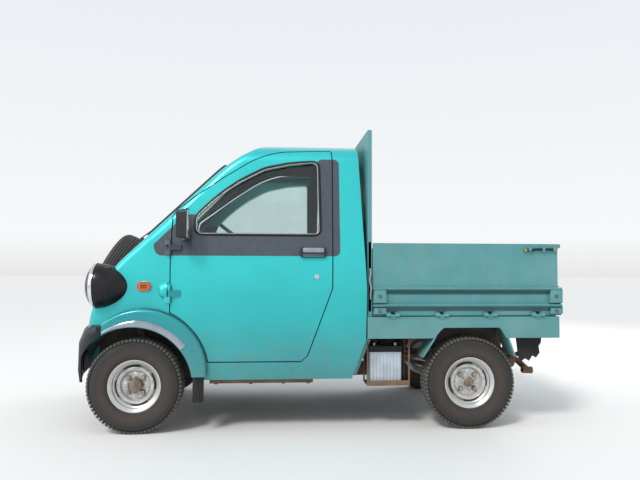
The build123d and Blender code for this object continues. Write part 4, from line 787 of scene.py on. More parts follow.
def onSkin(nodes, origin, direction):
    # the first point that a straight line from origin meets on any of the nodes, or None
    best = None
    for node in nodes:
        place, normal, face, distance = skinTree(node).ray_cast(Vector(origin), Vector(direction))
        if place is not None and (best is None or distance < best[1]):
            best = (place, distance)
    return best[0] if best else None


def sidePoint(nodes, x, z, side, out=0.0):
    return onSkin(nodes, (station(x), side * 1.2, z), (0, -side, 0)) + Vector((0, side * out, 0))


def roundCorners(points, radius, steps=5):
    # points of a closed outline with each corner cut by a short arc
    made = []
    count = len(points)
    for index in range(count):
        before, here, after = (Vector(points[(index + k) % count]) for k in (-1, 0, 1))
        inward, onward = (before - here), (after - here)
        cut = min(radius, inward.length / 2.2, onward.length / 2.2)
        first, last = here + inward.normalized() * cut, here + onward.normalized() * cut
        for step in range(steps + 1):
            share = step / steps
            made.append(first.lerp(here, share).lerp(here.lerp(last, share), share))
    return made


# Tyres: a soft carcass with a ring of square shoulder lugs each side and two rows of blocks between them

tyre = {
    "radius": 0.254, "lugs": 72, "lugLength": 0.0165, "lugHeight": 0.0095, "lugBevel": 0.0012, "steps": 96,
    "blockRows": (-0.0125, 0.0125), "blockShift": (0.3, 0.8), "blockWidth": 0.018, "blockLength": 0.0165,
    "blockDrop": 0.0003, "spareScale": (0.992, 0.992, 0.9),
}
lugOutline = (
    # radius, distance out from the middle
    (0.2375, 0.0655), (0.2475, 0.0665), (0.2535, 0.0600), (0.254, 0.0300), (0.2440, 0.0300), (0.2410, 0.0560),
)
tyreProfile = (
    # radius, distance out from the middle
    (0.1275, 0.040), (0.1290, 0.0465), (0.1380, 0.0530), (0.1500, 0.0610), (0.1640, 0.0665), (0.1800, 0.0690),
    (0.2000, 0.0692), (0.2040, 0.0698), (0.2090, 0.0698), (0.2130, 0.0690), (0.2250, 0.0672), (0.2340, 0.0640),
    (0.2400, 0.0570), (0.2430, 0.0480), (0.2445, 0.0250), (0.2450, 0.0),
)
spareTread = (
    # radius, distance out: a round shoulder and three grooves
    (0.2390, 0.0640), (0.2455, 0.0560), (0.2500, 0.0450), (0.2515, 0.0372), (0.2470, 0.0365), (0.2470, 0.0335),
    (0.2520, 0.0328), (0.2532, 0.0190), (0.2480, 0.0183), (0.2480, 0.0153), (0.2534, 0.0146), (0.2538, 0.0022),
    (0.2485, 0.0016), (0.2485, 0.0),
)


def tyrePart(values):
    half = list(tyreProfile)
    profile = half + [(radius, -out) for radius, out in reversed(half[:-1])]
    part = turnedRing(profile, values["steps"])
    lug = bmesh.new()
    face = lug.faces.new([lug.verts.new((radius, -values["lugLength"] / 2, out)) for radius, out in lugOutline])
    thicken(lug, [face], (0, values["lugLength"], 0))
    bevelAll(lug, values["lugBevel"], 1)
    lugMesh = bpy.data.meshes.new("scratch")
    lug.to_mesh(lugMesh)
    lug.free()
    block = bmesh.new()
    low = (values["radius"] - values["lugHeight"], -values["blockLength"] / 2, -values["blockWidth"] / 2)
    high = (values["radius"] - values["blockDrop"], values["blockLength"] / 2, values["blockWidth"] / 2)
    addBox(block, low, high, values["lugBevel"], 1)
    blockMesh = bpy.data.meshes.new("scratch")
    block.to_mesh(blockMesh)
    block.free()
    pitch = tau / values["lugs"]
    for index in range(values["lugs"]):
        # mesh, angle, distance out, side
        places = [(lugMesh, index * pitch, 0.0, 1), (lugMesh, (index + 0.5) * pitch, 0.0, -1)]
        for shift, row in zip(values["blockShift"], values["blockRows"]):
            places.append((blockMesh, (index + shift) * pitch, row, 1))
        for mesh, angle, out, side in places:
            copied = bmesh.new()
            copied.from_mesh(mesh)
            if side < 0:
                bmesh.ops.scale(copied, vec=(1, 1, -1), verts=copied.verts)
                bmesh.ops.reverse_faces(copied, faces=copied.faces)
            addMesh(part, copied, Matrix.Rotation(angle, 4, "Z") @ Matrix.Translation((0, 0, out)))
    bpy.data.meshes.remove(lugMesh)
    bpy.data.meshes.remove(blockMesh)
    return part


def sparePart(values):
    half = list(tyreProfile[:11]) + list(spareTread)
    profile = half + [(radius, -out) for radius, out in reversed(half[:-1])]
    return turnedRing(profile, values["steps"])


def addRadial(mesh, axisPlace, axis):
    # distance from the axle, stored on the mesh for the rubber's colour
    attribute = mesh.attributes.new("radial", "FLOAT", "POINT")
    for index, vertex in enumerate(mesh.vertices):
        arm = vertex.co - axisPlace
        attribute.data[index].value = (arm - axis * arm.dot(axis)).length


def makeTyres(values):
    masters = {}
    for kind, part in (("road", tyrePart(values)), ("spare", sparePart(values))):
        masters[kind] = bpy.data.meshes.new("scratch")
        part.to_mesh(masters[kind])
        part.free()
    fits = [("tyre_" + corner, "wheel_" + corner, Vector((0, side, 0))) for corner, side in wheelCorners]
    fits.append(("spare_tyre", "root", spareAxis))
    for node, body, axis in fits:
        place = middleOf(node)
        bm = bmesh.new()
        bm.from_mesh(masters["spare" if body == "root" else "road"])
        if body == "root":
            bmesh.ops.scale(bm, vec=values["spareScale"], verts=bm.verts)
        bmesh.ops.transform(bm, matrix=facing(place, axis), verts=bm.verts)
        rubber = "spareRubber" if body == "root" else "dustyTyre"
        piece = finishPiece(bm, node + "_rubber", rubber, body, angle=40)
        addRadial(piece.data, place, axis)
        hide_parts(node)
    for master in masters.values():
        bpy.data.meshes.remove(master)


makeTyres(tyre)
print("tyres made")

# Wheels: nuts on washers with pads between them, the pressed rings, black arcs as painted shade in the slots, and each
# hub cap

wheelTrim = {
    "nutCircle": 0.055, "nutRadius": 0.0105, "nutHeight": 0.013, "nutBevel": 0.0015, "nave": 0.0105,
    "capFront": 0.038, "capRear": 0.027, "capTall": 0.0385, "slotRadius": 0.1045, "slotOut": 0.0215, "slotTube": 0.0042,
    "slotTurn": 0.2, "slotAngles": (-0.42, -0.28, -0.14, 0, 0.14, 0.28, 0.42),
}
rimRings = (
    # radius, distance out, thickness
    (0.1375, 0.0535, 0.0024), (0.0965, 0.0255, 0.0042), (0.0775, 0.0125, 0.0022),
)
studProfile = ((0, 0.0), (0.005, 0.0), (0.005, 0.012), (0.004, 0.0135), (0, 0.0135))
washerProfile = ((0, 0.0), (0.0155, 0.0), (0.0155, 0.002), (0.012, 0.0045), (0, 0.0045))
padProfile = ((0, -0.002), (0.0165, -0.002), (0.0155, 0.003), (0.0120, 0.0052), (0, 0.0058))


def nutPart(radius, height, bevel):
    nut = bmesh.new()
    bmesh.ops.create_cone(nut, cap_ends=True, segments=6, radius1=radius, radius2=radius, depth=height)
    bevelAll(nut, bevel, 1)
    return nut


def makeNuts(rim, body, there, values):
    nuts = bmesh.new()
    out = Matrix.Translation((values["nutCircle"], 0, values["nave"] + 0.001))
    for index in range(4):
        spot = Matrix.Rotation(tau * (index + 0.5) / 4, 4, "Z") @ out
        nut = nutPart(values["nutRadius"], values["nutHeight"], values["nutBevel"])
        addMesh(nuts, nut, spot @ Matrix.Translation((0, 0, values["nutHeight"] / 2)))
        addMesh(nuts, turnedPart(studProfile, 12), spot @ Matrix.Translation((0, 0, values["nutHeight"] - 0.006)))
        addMesh(nuts, turnedPart(washerProfile, 24), spot)
    bmesh.ops.transform(nuts, matrix=there, verts=nuts.verts)
    finishPiece(nuts, rim + "_nuts", "capBrown", body, angle=30)


def makeRingsAndSlots(rim, body, there, values):
    rings, slotShade = bmesh.new(), bmesh.new()
    for radius, out, thick in rimRings:
        circle = [Vector((radius * cos(tau * k / 72), radius * sin(tau * k / 72), out)) for k in range(72)]
        addMesh(rings, tubeMesh(circle, thick, closed=True), there)
    finishPiece(rings, rim + "_rings", rim, body, angle=60)
    # black arcs over the wheel's slots, painted shade in their openings
    reach = values["slotRadius"]
    for index in range(4):
        middle = tau * index / 4 + values["slotTurn"]
        angles = [middle + a for a in values["slotAngles"]]
        arc = [Vector((reach * cos(a), reach * sin(a), values["slotOut"])) for a in angles]
        addMesh(slotShade, tubeMesh(arc, values["slotTube"]), there)
    finishPiece(slotShade, rim + "_slot_shade", "roughBlack", body, angle=60)


def makePads(rim, body, there, values):
    # one between each two nuts
    pads = bmesh.new()
    out = Matrix.Translation((values["nutCircle"], 0, values["nave"]))
    for index in range(4):
        addMesh(pads, turnedPart(padProfile, 28), Matrix.Rotation(tau * index / 4, 4, "Z") @ out)
    bmesh.ops.transform(pads, matrix=there, verts=pads.verts)
    finishPiece(pads, rim + "_pads", rim, body, angle=40)


def makeHubCap(rim, body, there, values):
    cap = values["capFront"] if "front" in body else values["capRear"]
    foot = values["nave"]
    top = foot + values["capTall"]
    profile = ((0, top), (cap - 0.014, top - 0.0006), (cap - 0.006, top - 0.003), (cap - 0.001, top - 0.009),
               (cap + 0.0005, foot + 0.012), (cap + 0.0015, foot), (0, foot))
    capPart = turnedPart(profile, 48)
    bmesh.ops.transform(capPart, matrix=there, verts=capPart.verts)
    finishPiece(capPart, rim + "_cap", "capBrown", body, angle=30)


def makeWheelTrim(values):
    for corner, side in wheelCorners:
        body, rim = "wheel_" + corner, "rim_" + corner
        there = facing(middleOf("tyre_" + corner), Vector((0, side, 0)))
        makeNuts(rim, body, there, values)
        makeRingsAndSlots(rim, body, there, values)
        makePads(rim, body, there, values)
        makeHubCap(rim, body, there, values)
    there = facing(middleOf("spare_tyre"), spareAxis)
    makeNuts("spare_rim", "root", there, values)
    makeRingsAndSlots("spare_rim", "root", there, values)
    makePads("spare_rim", "root", there, values)


makeWheelTrim(wheelTrim)
print("wheel trim made")

# Seats: cushions, backs and headrests, puffed by a cloth run

seat = {"y": 0.265, "voxel": 0.009, "pressure": 3.2, "cap": 0.010, "frames": 20, "insetShare": 0.75, "edge": 0.028,
        "channel": 0.004, "channelHalf": 0.016, "channelShare": 0.27, "faceDepth": 0.03}
seatShapes = {
    # low x, high x, low z, high z of each padded block, and its width
    "cushion": (0.676, 1.034, 0.612, 0.722, 0.424),
    "back": (1.052, 1.168, 0.640, 1.168, 0.424),
    "headrest": (1.092, 1.160, 1.190, 1.322, 0.236),
}


def puff(piece, values):
    settings = piece.modifiers.new("cloth", "CLOTH")
    settings.settings.use_pressure = True
    settings.settings.uniform_pressure_force = values["pressure"]
    settings.settings.effector_weights.gravity = 0
    settings.point_cache.frame_start = 1
    settings.point_cache.frame_end = values["frames"]
    rest = [v.co.copy() for v in piece.data.vertices]
    for step in range(1, values["frames"] + 1):
        bpy.context.scene.frame_set(step)
    graph = bpy.context.evaluated_depsgraph_get()
    blown = [v.co.copy() for v in piece.evaluated_get(graph).data.vertices]
    piece.modifiers.remove(settings)
    for vertex, start, end in zip(piece.data.vertices, rest, blown):
        move = end - start
        if move.length > values["cap"]:
            move = move.normalized() * values["cap"]
        vertex.co = start + move
    bpy.context.scene.frame_set(1)


def seatBlock(shape, y, values):
    lowX, highX, lowZ, highZ, width = shape
    bm = bmesh.new()
    inset = values["cap"] * values["insetShare"]
    addBox(bm, (station(lowX) + inset, y - width / 2 + inset, lowZ + inset),
           (station(highX) - inset, y + width / 2 - inset, highZ - inset), values["edge"], 4)
    return bm


def makeSeats(values):
    for side, sign in sides:
        for kind, shape in seatShapes.items():
            bm = seatBlock(shape, sign * values["y"], values)
            name = "seat_" + kind + "_" + side
            piece = finishPiece(bm, name, "wovenGrey", "root", angle=60)
            remesh = piece.modifiers.new("even", "REMESH")
            remesh.mode = "VOXEL"
            remesh.voxel_size = values["voxel"]
            graph = bpy.context.evaluated_depsgraph_get()
            even = bpy.data.meshes.new_from_object(piece.evaluated_get(graph))
            piece.modifiers.clear()
            piece.data = even
            puff(piece, values)
            sewChannels(piece, kind, shape, values)
            even.shade_smooth()
            fine = piece.modifiers.new("fine", "SUBSURF")
            fine.levels = 1
            fine.render_levels = 1
            if kind == "cushion":
                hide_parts("seat_cushions")
            else:
                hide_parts("seat_backs")


def sewChannels(piece, kind, shape, values):
    # two sewn lines along the seating face, pressed in as soft grooves
    if kind == "headrest":
        return
    frontX, topZ, width = station(shape[0]), shape[3], shape[4]
    middle = sum(v.co.y for v in piece.data.vertices) / len(piece.data.vertices)
    for vertex in piece.data.vertices:
        onTop, onFront = vertex.co.z > topZ - values["faceDepth"], vertex.co.x < frontX + values["faceDepth"]
        if not (onTop if kind == "cushion" else onFront):
            continue
        for line in (-width * values["channelShare"], width * values["channelShare"]):
            away = abs(vertex.co.y - middle - line)
            if away < values["channelHalf"]:
                depth = values["channel"] * (1 - away / values["channelHalf"])
                vertex.co += Vector((0, 0, -depth)) if kind == "cushion" else Vector((depth, 0, 0))


makeSeats(seat)
print("seats made")

# Glass trim: a black rubber round each door window with a bright moulding inside it

doorWindow = {"rubber": 0.0085, "moulding": 0.0029, "corner": 0.028, "middle": (0.70, 1.27), "leastY": 0.47,
              "searches": (0.0, 0.004, 0.008, 0.014)}
windowOutline = ((0.325, 1.080), (0.320, 1.172), (0.411, 1.262), (0.479, 1.318), (0.562, 1.374), (0.690, 1.442),
                 (0.831, 1.474), (0.985, 1.488), (0.992, 1.080))


def outlineOnDoor(side, sign, grow, corner, out, values):
    # the window's outline, grown and laid on the door; a point over the opening looks a little further out
    middle = Vector((*values["middle"], 0))
    grown = []
    for x, z in windowOutline:
        away = Vector((x, z, 0)) - middle
        grown.append(Vector((x, z, 0)) + away.normalized() * grow)
    points = []
    for point in roundCorners(grown, corner, 4):
        for extra in values["searches"]:
            spot = point + (point - middle).normalized() * extra
            place = onSkin(["door_" + side], (station(spot.x), sign * 1.2, spot.y), (0, -sign, 0))
            if place is not None and abs(place.y) > values["leastY"]:
                points.append(Vector((station(point.x), place.y + sign * out, point.y)))
                break
    return points


def makeWindowTrim(values):
    rubber, corner = values["rubber"], values["corner"]
    for side, sign in sides:
        body = "door_" + side
        outer = outlineOnDoor(side, sign, rubber * 1.3, corner + 0.012, 0, values)
        tubePiece("window_rubber_" + side, outer, rubber, "sealRubber", body, closed=True)
        inner = outlineOnDoor(side, sign, rubber * 0.1, corner, rubber * 0.85, values)
        tubePiece("window_moulding_" + side, inner, values["moulding"], "brushedSteel", body,
                  closed=True)


makeWindowTrim(doorWindow)

# Windscreen and back window gaskets, laid on the cab's skin

screens = {"rubber": 0.010, "screenLow": 1.082, "screenHigh": 1.478, "halfLow": 0.500, "halfHigh": 0.428,
           "rearLow": 1.150, "rearHigh": 1.430, "rearHalf": 0.400, "corner": 0.045, "spacing": 0.05, "outset": 0.006}


def makeGaskets(values):
    front = [(-values["halfLow"], values["screenLow"]), (values["halfLow"], values["screenLow"]),
             (values["halfHigh"], values["screenHigh"]), (-values["halfHigh"], values["screenHigh"])]
    rear = [(-values["rearHalf"], values["rearLow"]), (values["rearHalf"], values["rearLow"]),
            (values["rearHalf"], values["rearHigh"]), (-values["rearHalf"], values["rearHigh"])]
    for name, corners, start, ahead in (("windscreen_gasket", front, -2.5, 1), ("rear_window_gasket", rear, 2.5, -1)):
        middle = Vector((0, sum(corner[1] for corner in corners) / 4, 0))
        ring = roundCorners([Vector((*corner, 0)) for corner in corners], values["corner"], 6)
        points = []
        for index, point in enumerate(ring):
            following = ring[(index + 1) % len(ring)]
            pieces = max(int((following - point).length / values["spacing"]), 1)
            for piece in range(pieces):
                spot = point.lerp(following, piece / pieces)
                spot += (spot - middle).normalized() * values["outset"]
                place = onSkin(["cab_shell"], (start, spot.x, spot.y), (ahead, 0, 0))
                points.append(Vector((place.x, spot.x, spot.y)))
        tubePiece(name, points, values["rubber"], "sealRubber", "root", closed=True)


makeGaskets(screens)

# Wipers lying on the windscreen

wiper = {"pivots": (-0.34, 0.08), "pivotZ": 1.045, "reach": 0.36, "rise": 0.10, "arm": 0.0045, "blade": 0.0035,
         "outward": (-0.72, 0, 0.69), "armShares": (0.0, 0.5, 1.0), "bladeShares": (0.1, 0.3, 0.5, 0.75, 1.0),
         "armReach": 0.6, "armStart": 0.05, "armOff": 0.022, "bladeStart": 0.055, "bladeShift": 0.02,
         "bladeOff": 0.009}
wiperKnob = ((0, 0), (0.016, 0), (0.015, 0.012), (0.009, 0.02), (0, 0.021))


def onScreen(y, z):
    return onSkin(["cab_shell", "cab_glass"], (-2.5, y, z), (1, 0, 0))


def makeWipers(values):
    outward = Vector(values["outward"])
    for index, pivotY in enumerate(values["pivots"]):
        pivot = onScreen(pivotY, values["pivotZ"])
        tips = []
        for share in values["armShares"]:
            y = pivotY + share * values["reach"] * values["armReach"]
            spot = onScreen(y, values["pivotZ"] + values["armStart"] + share * values["rise"])
            tips.append(spot + outward * values["armOff"])
        arm = tubeMesh([pivot + outward * 0.004, pivot + outward * 0.02, tips[1], tips[2]], values["arm"])
        addMesh(arm, turnedPart(wiperKnob, 24), facing(pivot, outward))
        ends = []
        for share in values["bladeShares"]:
            y = pivotY + values["bladeShift"] + share * values["reach"]
            spot = onScreen(y, values["pivotZ"] + values["bladeStart"] + share * values["rise"])
            ends.append(spot + outward * values["bladeOff"])
        addMesh(arm, tubeMesh(ends, values["blade"]))
        finishPiece(arm, "wiper_" + str(index + 1), "satinBlack", "root", angle=40)


makeWipers(wiper)
print("glass trim made")

# Chrome arch band on each front fender

archBand = {"centreX": -0.005, "centreZ": 0.255, "radius": 0.3225, "width": 0.036, "start": -0.158, "end": 0.249,
            "y": 0.647, "steps": 40, "tip": 0.4, "widening": 1.6}
bandSection = (
    # share of the width, height of the face
    (0.0, -0.012), (0.0, 0.0005), (0.10, 0.0036), (0.25, 0.0054), (0.45, 0.0062), (0.65, 0.0055), (0.85, 0.0030),
    (1.0, -0.0015), (1.0, -0.012),
)


def archAngle(values, x):
    across = x - values["centreX"]
    return atan2((values["radius"] ** 2 - across ** 2) ** 0.5, across)


def makeArchBands(values):
    first, last = archAngle(values, values["start"]), archAngle(values, values["end"])
    centreX, centreZ, inner = station(values["centreX"]), values["centreZ"], values["radius"]
    for side, sign in sides:
        bm = bmesh.new()
        section = []
        for across, out in bandSection:
            radius = inner + across * values["width"]
            section.append(bm.verts.new((centreX + radius * cos(last), sign * (values["y"] + out),
                                         centreZ + radius * sin(last))))
        face = bm.faces.new(section)
        bmesh.ops.spin(bm, geom=[face], cent=(centreX, 0, centreZ), axis=(0, -1, 0), angle=first - last,
                       steps=values["steps"])
        for vertex in bm.verts:
            # the band narrows towards its front end
            arm = Vector((vertex.co.x - centreX, vertex.co.z - centreZ))
            share = (atan2(arm.y, arm.x) - first) / (last - first)
            narrow = min(1, values["tip"] + share * values["widening"])
            arm = arm.normalized() * (inner + (arm.length - inner) * narrow)
            vertex.co.x, vertex.co.z = centreX + arm.x, centreZ + arm.y
        bmesh.ops.recalc_face_normals(bm, faces=bm.faces)
        finishPiece(bm, "arch_band_" + side, "archChrome", "root", angle=40)


makeArchBands(archBand)

# Headlamps: a clear dome over a reflector with its bulb, in a chrome ring, and a raised oval on the pod

headlamp = {"x": -0.213, "y": 0.520, "z": 0.790, "ring": 0.124, "lens": 0.112, "depth": 0.040, "ringDepth": 0.020,
            "ovalX": -0.155, "ovalOut": 0.055}
bowlProfile = (
    # radius, distance ahead of the ring
    (0.106, 0.003), (0.098, 0.0015), (0.07, 0.0011), (0.02, 0.0009), (0.0, 0.0009), (0.0, 0.0016), (0.02, 0.0017),
    (0.07, 0.0022), (0.096, 0.004), (0.104, 0.008), (0.107, 0.008),
)
bulbProfile = ((0, 0.034), (0.006, 0.033), (0.010, 0.027), (0.0105, 0.016), (0.007, 0.010), (0.014, 0.009),
               (0.015, 0.002), (0, 0.002))
ovalProfile = ((0, 0.006), (0.010, 0.0052), (0.015, 0.003), (0.017, -0.004), (0, -0.004))


def domeProfile(r, d):
    # r is the lens's radius and d the height of its dome: the outer face and rim, then the inner face
    outer = [(0, 0.006 + d), (r * 0.3, 0.006 + d * 0.955), (r * 0.55, 0.006 + d * 0.83), (r * 0.75, 0.006 + d * 0.63),
             (r * 0.9, 0.006 + d * 0.34), (r, 0.006), (r, 0.0015), (r - 0.004, 0.0015)]
    inner = [(r - 0.004, 0.006), (r * 0.9 - 0.003, 0.006 + d * 0.3), (r * 0.75 - 0.002, d * 0.6), (r * 0.5, d * 0.84),
             (r * 0.25, d * 0.95), (0, d * 0.97)]
    return outer + inner


def ringProfile(lens, ring):
    return ((lens - 0.001, -0.003), (lens - 0.001, 0.005), (lens + 0.004, 0.008), (ring - 0.003, 0.005),
            (ring + 0.0025, -0.004), (ring + 0.0025, -0.012), (ring + 0.0005, -0.013), (ring - 0.004, -0.005))


def makeHeadlamps(values):
    lenses = bmesh.new()
    for side, sign in sides:
        front = station(values["x"] - values["ringDepth"])
        there = facing((front, sign * values["y"], values["z"]), (-1, 0, 0))
        addMesh(lenses, turnedPart(domeProfile(values["lens"], values["depth"]), 72), there)
        pieces = (
            # name, mesh, finish, sharpest smooth angle
            ("lamp_reflector_", turnedRing(bowlProfile, 64), "chrome", 60),
            ("lamp_bulb_", turnedPart(bulbProfile, 28), "brushedSteel", 40),
            ("lamp_ring_", turnedRing(ringProfile(values["lens"], values["ring"]), 96), "chrome", 40),
        )
        for name, part, finish, angle in pieces:
            bmesh.ops.transform(part, matrix=there, verts=part.verts)
            finishPiece(part, name + side, finish, "root", angle=angle)
        over = (station(values["ovalX"]), sign * (values["y"] + values["ovalOut"]), 1.2)
        top = onSkin(["headlamp_pods"], over, (0, 0, -1))
        oval = turnedPart(ovalProfile, 32)
        bmesh.ops.scale(oval, vec=(1.5, 0.8, 1), verts=oval.verts)
        bmesh.ops.transform(oval, matrix=facing(top, (0.1, sign * 0.5, 0.86), (0, 1, 0)), verts=oval.verts)
        finishPiece(oval, "pod_oval_" + side, "roughBlack", "root", angle=40)
    piece = finishPiece(lenses, "headlamp_glass", "lampGlass", "root", angle=45)
    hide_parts("headlamp_lenses")


makeHeadlamps(headlamp)

# Side repeaters: a pale bezel round the amber lens, with three dark bars moulded on it

repeater = {"x": 0.045, "z": 0.790, "length": 0.078, "height": 0.052, "tube": 0.0038, "bars": (-0.012, 0.0, 0.012),
            "barTube": 0.0019, "barHeights": (-0.011, 0, 0.011)}


def slotOutline(length, height, steps=10):
    radius = height / 2
    reach = length / 2 - radius
    points = [(reach + radius * cos(a), radius * sin(a)) for a in (pi * (k / steps - 0.5) for k in range(steps + 1))]
    return points + [(-x, -z) for x, z in points]


def makeRepeaters(values):
    for side, sign in sides:
        outline = []
        for x, z in slotOutline(values["length"], values["height"]):
            outline.append(sidePoint(["cab_shell"], values["x"] + x, values["z"] + z, sign, 0.001))
        tubePiece("repeater_bezel_" + side, outline, values["tube"], "flapSilver", "root", closed=True)
        bars = bmesh.new()
        for x in values["bars"]:
            spots = [sidePoint(["turn_lamps"], values["x"] + x, values["z"] + z, sign, 0.0004)
                     for z in values["barHeights"]]
            addMesh(bars, tubeMesh(spots, values["barTube"]))
        finishPiece(bars, "repeater_bars_" + side, "roughBlack", "root", angle=50)


makeRepeaters(repeater)
print("lamps made")

# Door fittings: the handle's silver flap over its hollow, the lock and the mirror's glass and clamp

handle = {
    # plates: length, height, thickness, corner, edge
    "x": 0.960, "z": 0.978, "flap": (0.116, 0.026, 0.006, 0.008, 0.002), "base": (0.118, 0.015, 0.004, 0.007, 0.002),
}
lock = {"x": 0.979, "z": 0.846, "slit": (0.0008, 0.0012, 0.004), "slitOut": 0.0050}
lockProfile = ((0, 0.0055), (0.005, 0.0055), (0.0055, 0.0045), (0.0085, 0.006), (0.0125, 0.004), (0.0135, -0.006),
               (0, -0.006))
mirror = {"x": 0.262, "y": 0.702, "z": 1.123, "width": 0.116, "height": 0.168, "depth": 0.058, "border": 0.018,
          "glass": (0.0025, 0.02, 0.001), "clampY": 0.66, "clampZ": 1.058}
clampProfile = ((0, 0.020), (0.010, 0.018), (0.017, 0.010), (0.0195, 0), (0.017, -0.010), (0.010, -0.018), (0, -0.020))
clampScrew = ((0, 0.016), (0.006, 0.015), (0.0065, -0.016), (0, -0.016))


def platePart(length, height, thick, corner, edge=0.0015):
    # a rounded plate lying in x and y, its face at z = thick
    part = bmesh.new()
    square = [Vector((x * length / 2, y * height / 2, 0)) for x, y in ((-1, -1), (1, -1), (1, 1), (-1, 1))]
    face = part.faces.new([part.verts.new(p) for p in roundCorners(square, corner, 6)])
    thicken(part, [face], (0, 0, thick))
    rim = [e for e in part.edges if all(v.co.z > thick - 0.00001 for v in e.verts)]
    bmesh.ops.bevel(part, geom=rim, offset=edge, offset_type="OFFSET", segments=2, profile=0.5, affect="EDGES",
                    material=-1)
    return part


def makeHandle(side, sign, values):
    body = "door_" + side
    skins = [body + "_fittings", body]
    outward = (0, sign, 0.12)
    face = sidePoint(skins[:1], values["x"], values["z"] + 0.008, sign)
    flap = platePart(*values["flap"])
    bmesh.ops.transform(flap, matrix=facing(face + Vector((0, sign * -0.002, 0.004)), outward), verts=flap.verts)
    finishPiece(flap, "handle_flap_" + side, "flapSilver", body, angle=30)
    seat = sidePoint(skins, values["x"], values["z"] - 0.016, sign)
    base = platePart(*values["base"])
    bmesh.ops.transform(base, matrix=facing(seat + Vector((0, sign * -0.0015, 0)), outward), verts=base.verts)
    finishPiece(base, "handle_base_" + side, "cabTurquoise", body, angle=30)


def makeLock(side, sign, values):
    body = "door_" + side
    spot = sidePoint([body], values["x"], values["z"], sign)
    barrel = turnedPart(lockProfile, 36)
    bmesh.ops.transform(barrel, matrix=facing(spot, (0, sign, -0.05)), verts=barrel.verts)
    finishPiece(barrel, "door_lock_" + side, "chrome", body, angle=30)
    # the key slit is a thin black box on the barrel, painted shade for the keyway
    slit = bmesh.new()
    half, thick, tall = values["slit"]
    y0, y1 = slab(sign, values["slitOut"], thick)
    addBox(slit, spot + Vector((-half, y0, -tall)), spot + Vector((half, y1, tall)))
    finishPiece(slit, "lock_slit_" + side, "satinBlack", body)


def makeMirror(side, sign, values):
    body = "door_" + side
    glass = platePart(values["width"] - values["border"], values["height"] - values["border"], *values["glass"])
    rear = Vector((station(values["x"] + values["depth"] / 2), sign * values["y"], values["z"]))
    bmesh.ops.transform(glass, matrix=facing(rear, (1, 0, 0)), verts=glass.verts)
    finishPiece(glass, "mirror_glass_" + side, "mirrorGlass", body, angle=30)
    clamp = bmesh.new()
    joint = Vector((station(values["x"]), sign * values["clampY"], values["clampZ"]))
    addMesh(clamp, turnedPart(clampProfile, 24), facing(joint, (0, sign, 0)))
    addMesh(clamp, turnedPart(clampScrew, 12), facing(joint, (1, 0, 0)) @ Matrix.Translation((0, 0, -0.012)))
    finishPiece(clamp, "mirror_clamp_" + side, "brushedSteel", body, angle=40)


def makeDoorFittings():
    for side, sign in sides:
        makeHandle(side, sign, handle)
        makeLock(side, sign, lock)
        makeMirror(side, sign, mirror)


makeDoorFittings()
print("door fittings made")

# Load bed: corner brackets with their bolts, a latch rod with brass ends, and the front posts with their latches

gateTrim = {
    # plate: length, thickness, corner, edge; keeper: half its length, width and height
    "plate": (0.066, 0.004, 0.006, 0.001), "rodY": 0.622, "rodZ": 1.001, "rod": 0.0065,
    "keeperXs": (2.182, 2.262, 2.325), "keeper": (0.008, 0.010, 0.012), "knobXs": (2.158, 2.334),
}
bracketPlaces = (
    # middle x, middle z, height
    (1.328, 0.657, 0.030), (1.328, 0.737, 0.068), (2.329, 0.657, 0.030), (2.329, 0.737, 0.068),
)
latchRod = ((2.155, -0.006), (2.20, -0.006), (2.21, 0.0), (2.33, 0.0))  # x, height on the rod's own line
knobProfile = ((0, 0.008), (0.006, 0.008), (0.009, 0.004), (0.009, -0.004), (0.006, -0.008), (0, -0.008))


def boltPart(radius=0.008, height=0.006):
    part = nutPart(radius, height, 0.001)
    washer = turnedPart(((0, -height / 2 - 0.002), (radius * 1.5, -height / 2 - 0.002), (radius * 1.45, -height / 2),
                         (0, -height / 2)), 20)
    addMesh(part, washer)
    return part


def makeGateTrim(values):
    length, thick, corner, edge = values["plate"]
    for side, sign in sides:
        body = "side_gate_" + side
        plates, bolts, keeper, knobs = bmesh.new(), bmesh.new(), bmesh.new(), bmesh.new()
        for x, z, height in bracketPlaces:
            face = sidePoint([body], x, z, sign)
            plate = platePart(length, height, thick, corner, edge)
            addMesh(plates, plate, facing(face + Vector((0, -sign * 0.001, 0)), (0, sign, 0)))
            addMesh(bolts, boltPart(), facing(face + Vector((0, sign * 0.006, 0)), (0, sign, 0)))
        finishPiece(plates, "gate_brackets_" + side, "bedTurquoise", body, angle=30)
        finishPiece(bolts, "gate_bolts_" + side, "rustySteel", body, angle=30)
        rodY, rodZ = sign * values["rodY"], values["rodZ"]
        line = [Vector((station(x), rodY, rodZ + dz)) for x, dz in latchRod]
        tubePiece("latch_rod_" + side, line, values["rod"], "satinBlack", body)
        half = Vector(values["keeper"])
        for x in values["keeperXs"]:
            middle = Vector((station(x), rodY, rodZ))
            addBox(keeper, middle - half, middle + half, 0.003, 2)
        finishPiece(keeper, "latch_keepers_" + side, "bedTurquoise", body, angle=30)
        for x, height in zip(values["knobXs"], (latchRod[0][1], latchRod[-1][1])):
            addMesh(knobs, turnedPart(knobProfile, 24), facing((station(x), rodY, rodZ + height), (1, 0, 0)))
        finishPiece(knobs, "latch_knobs_" + side, "brass", body, angle=40)


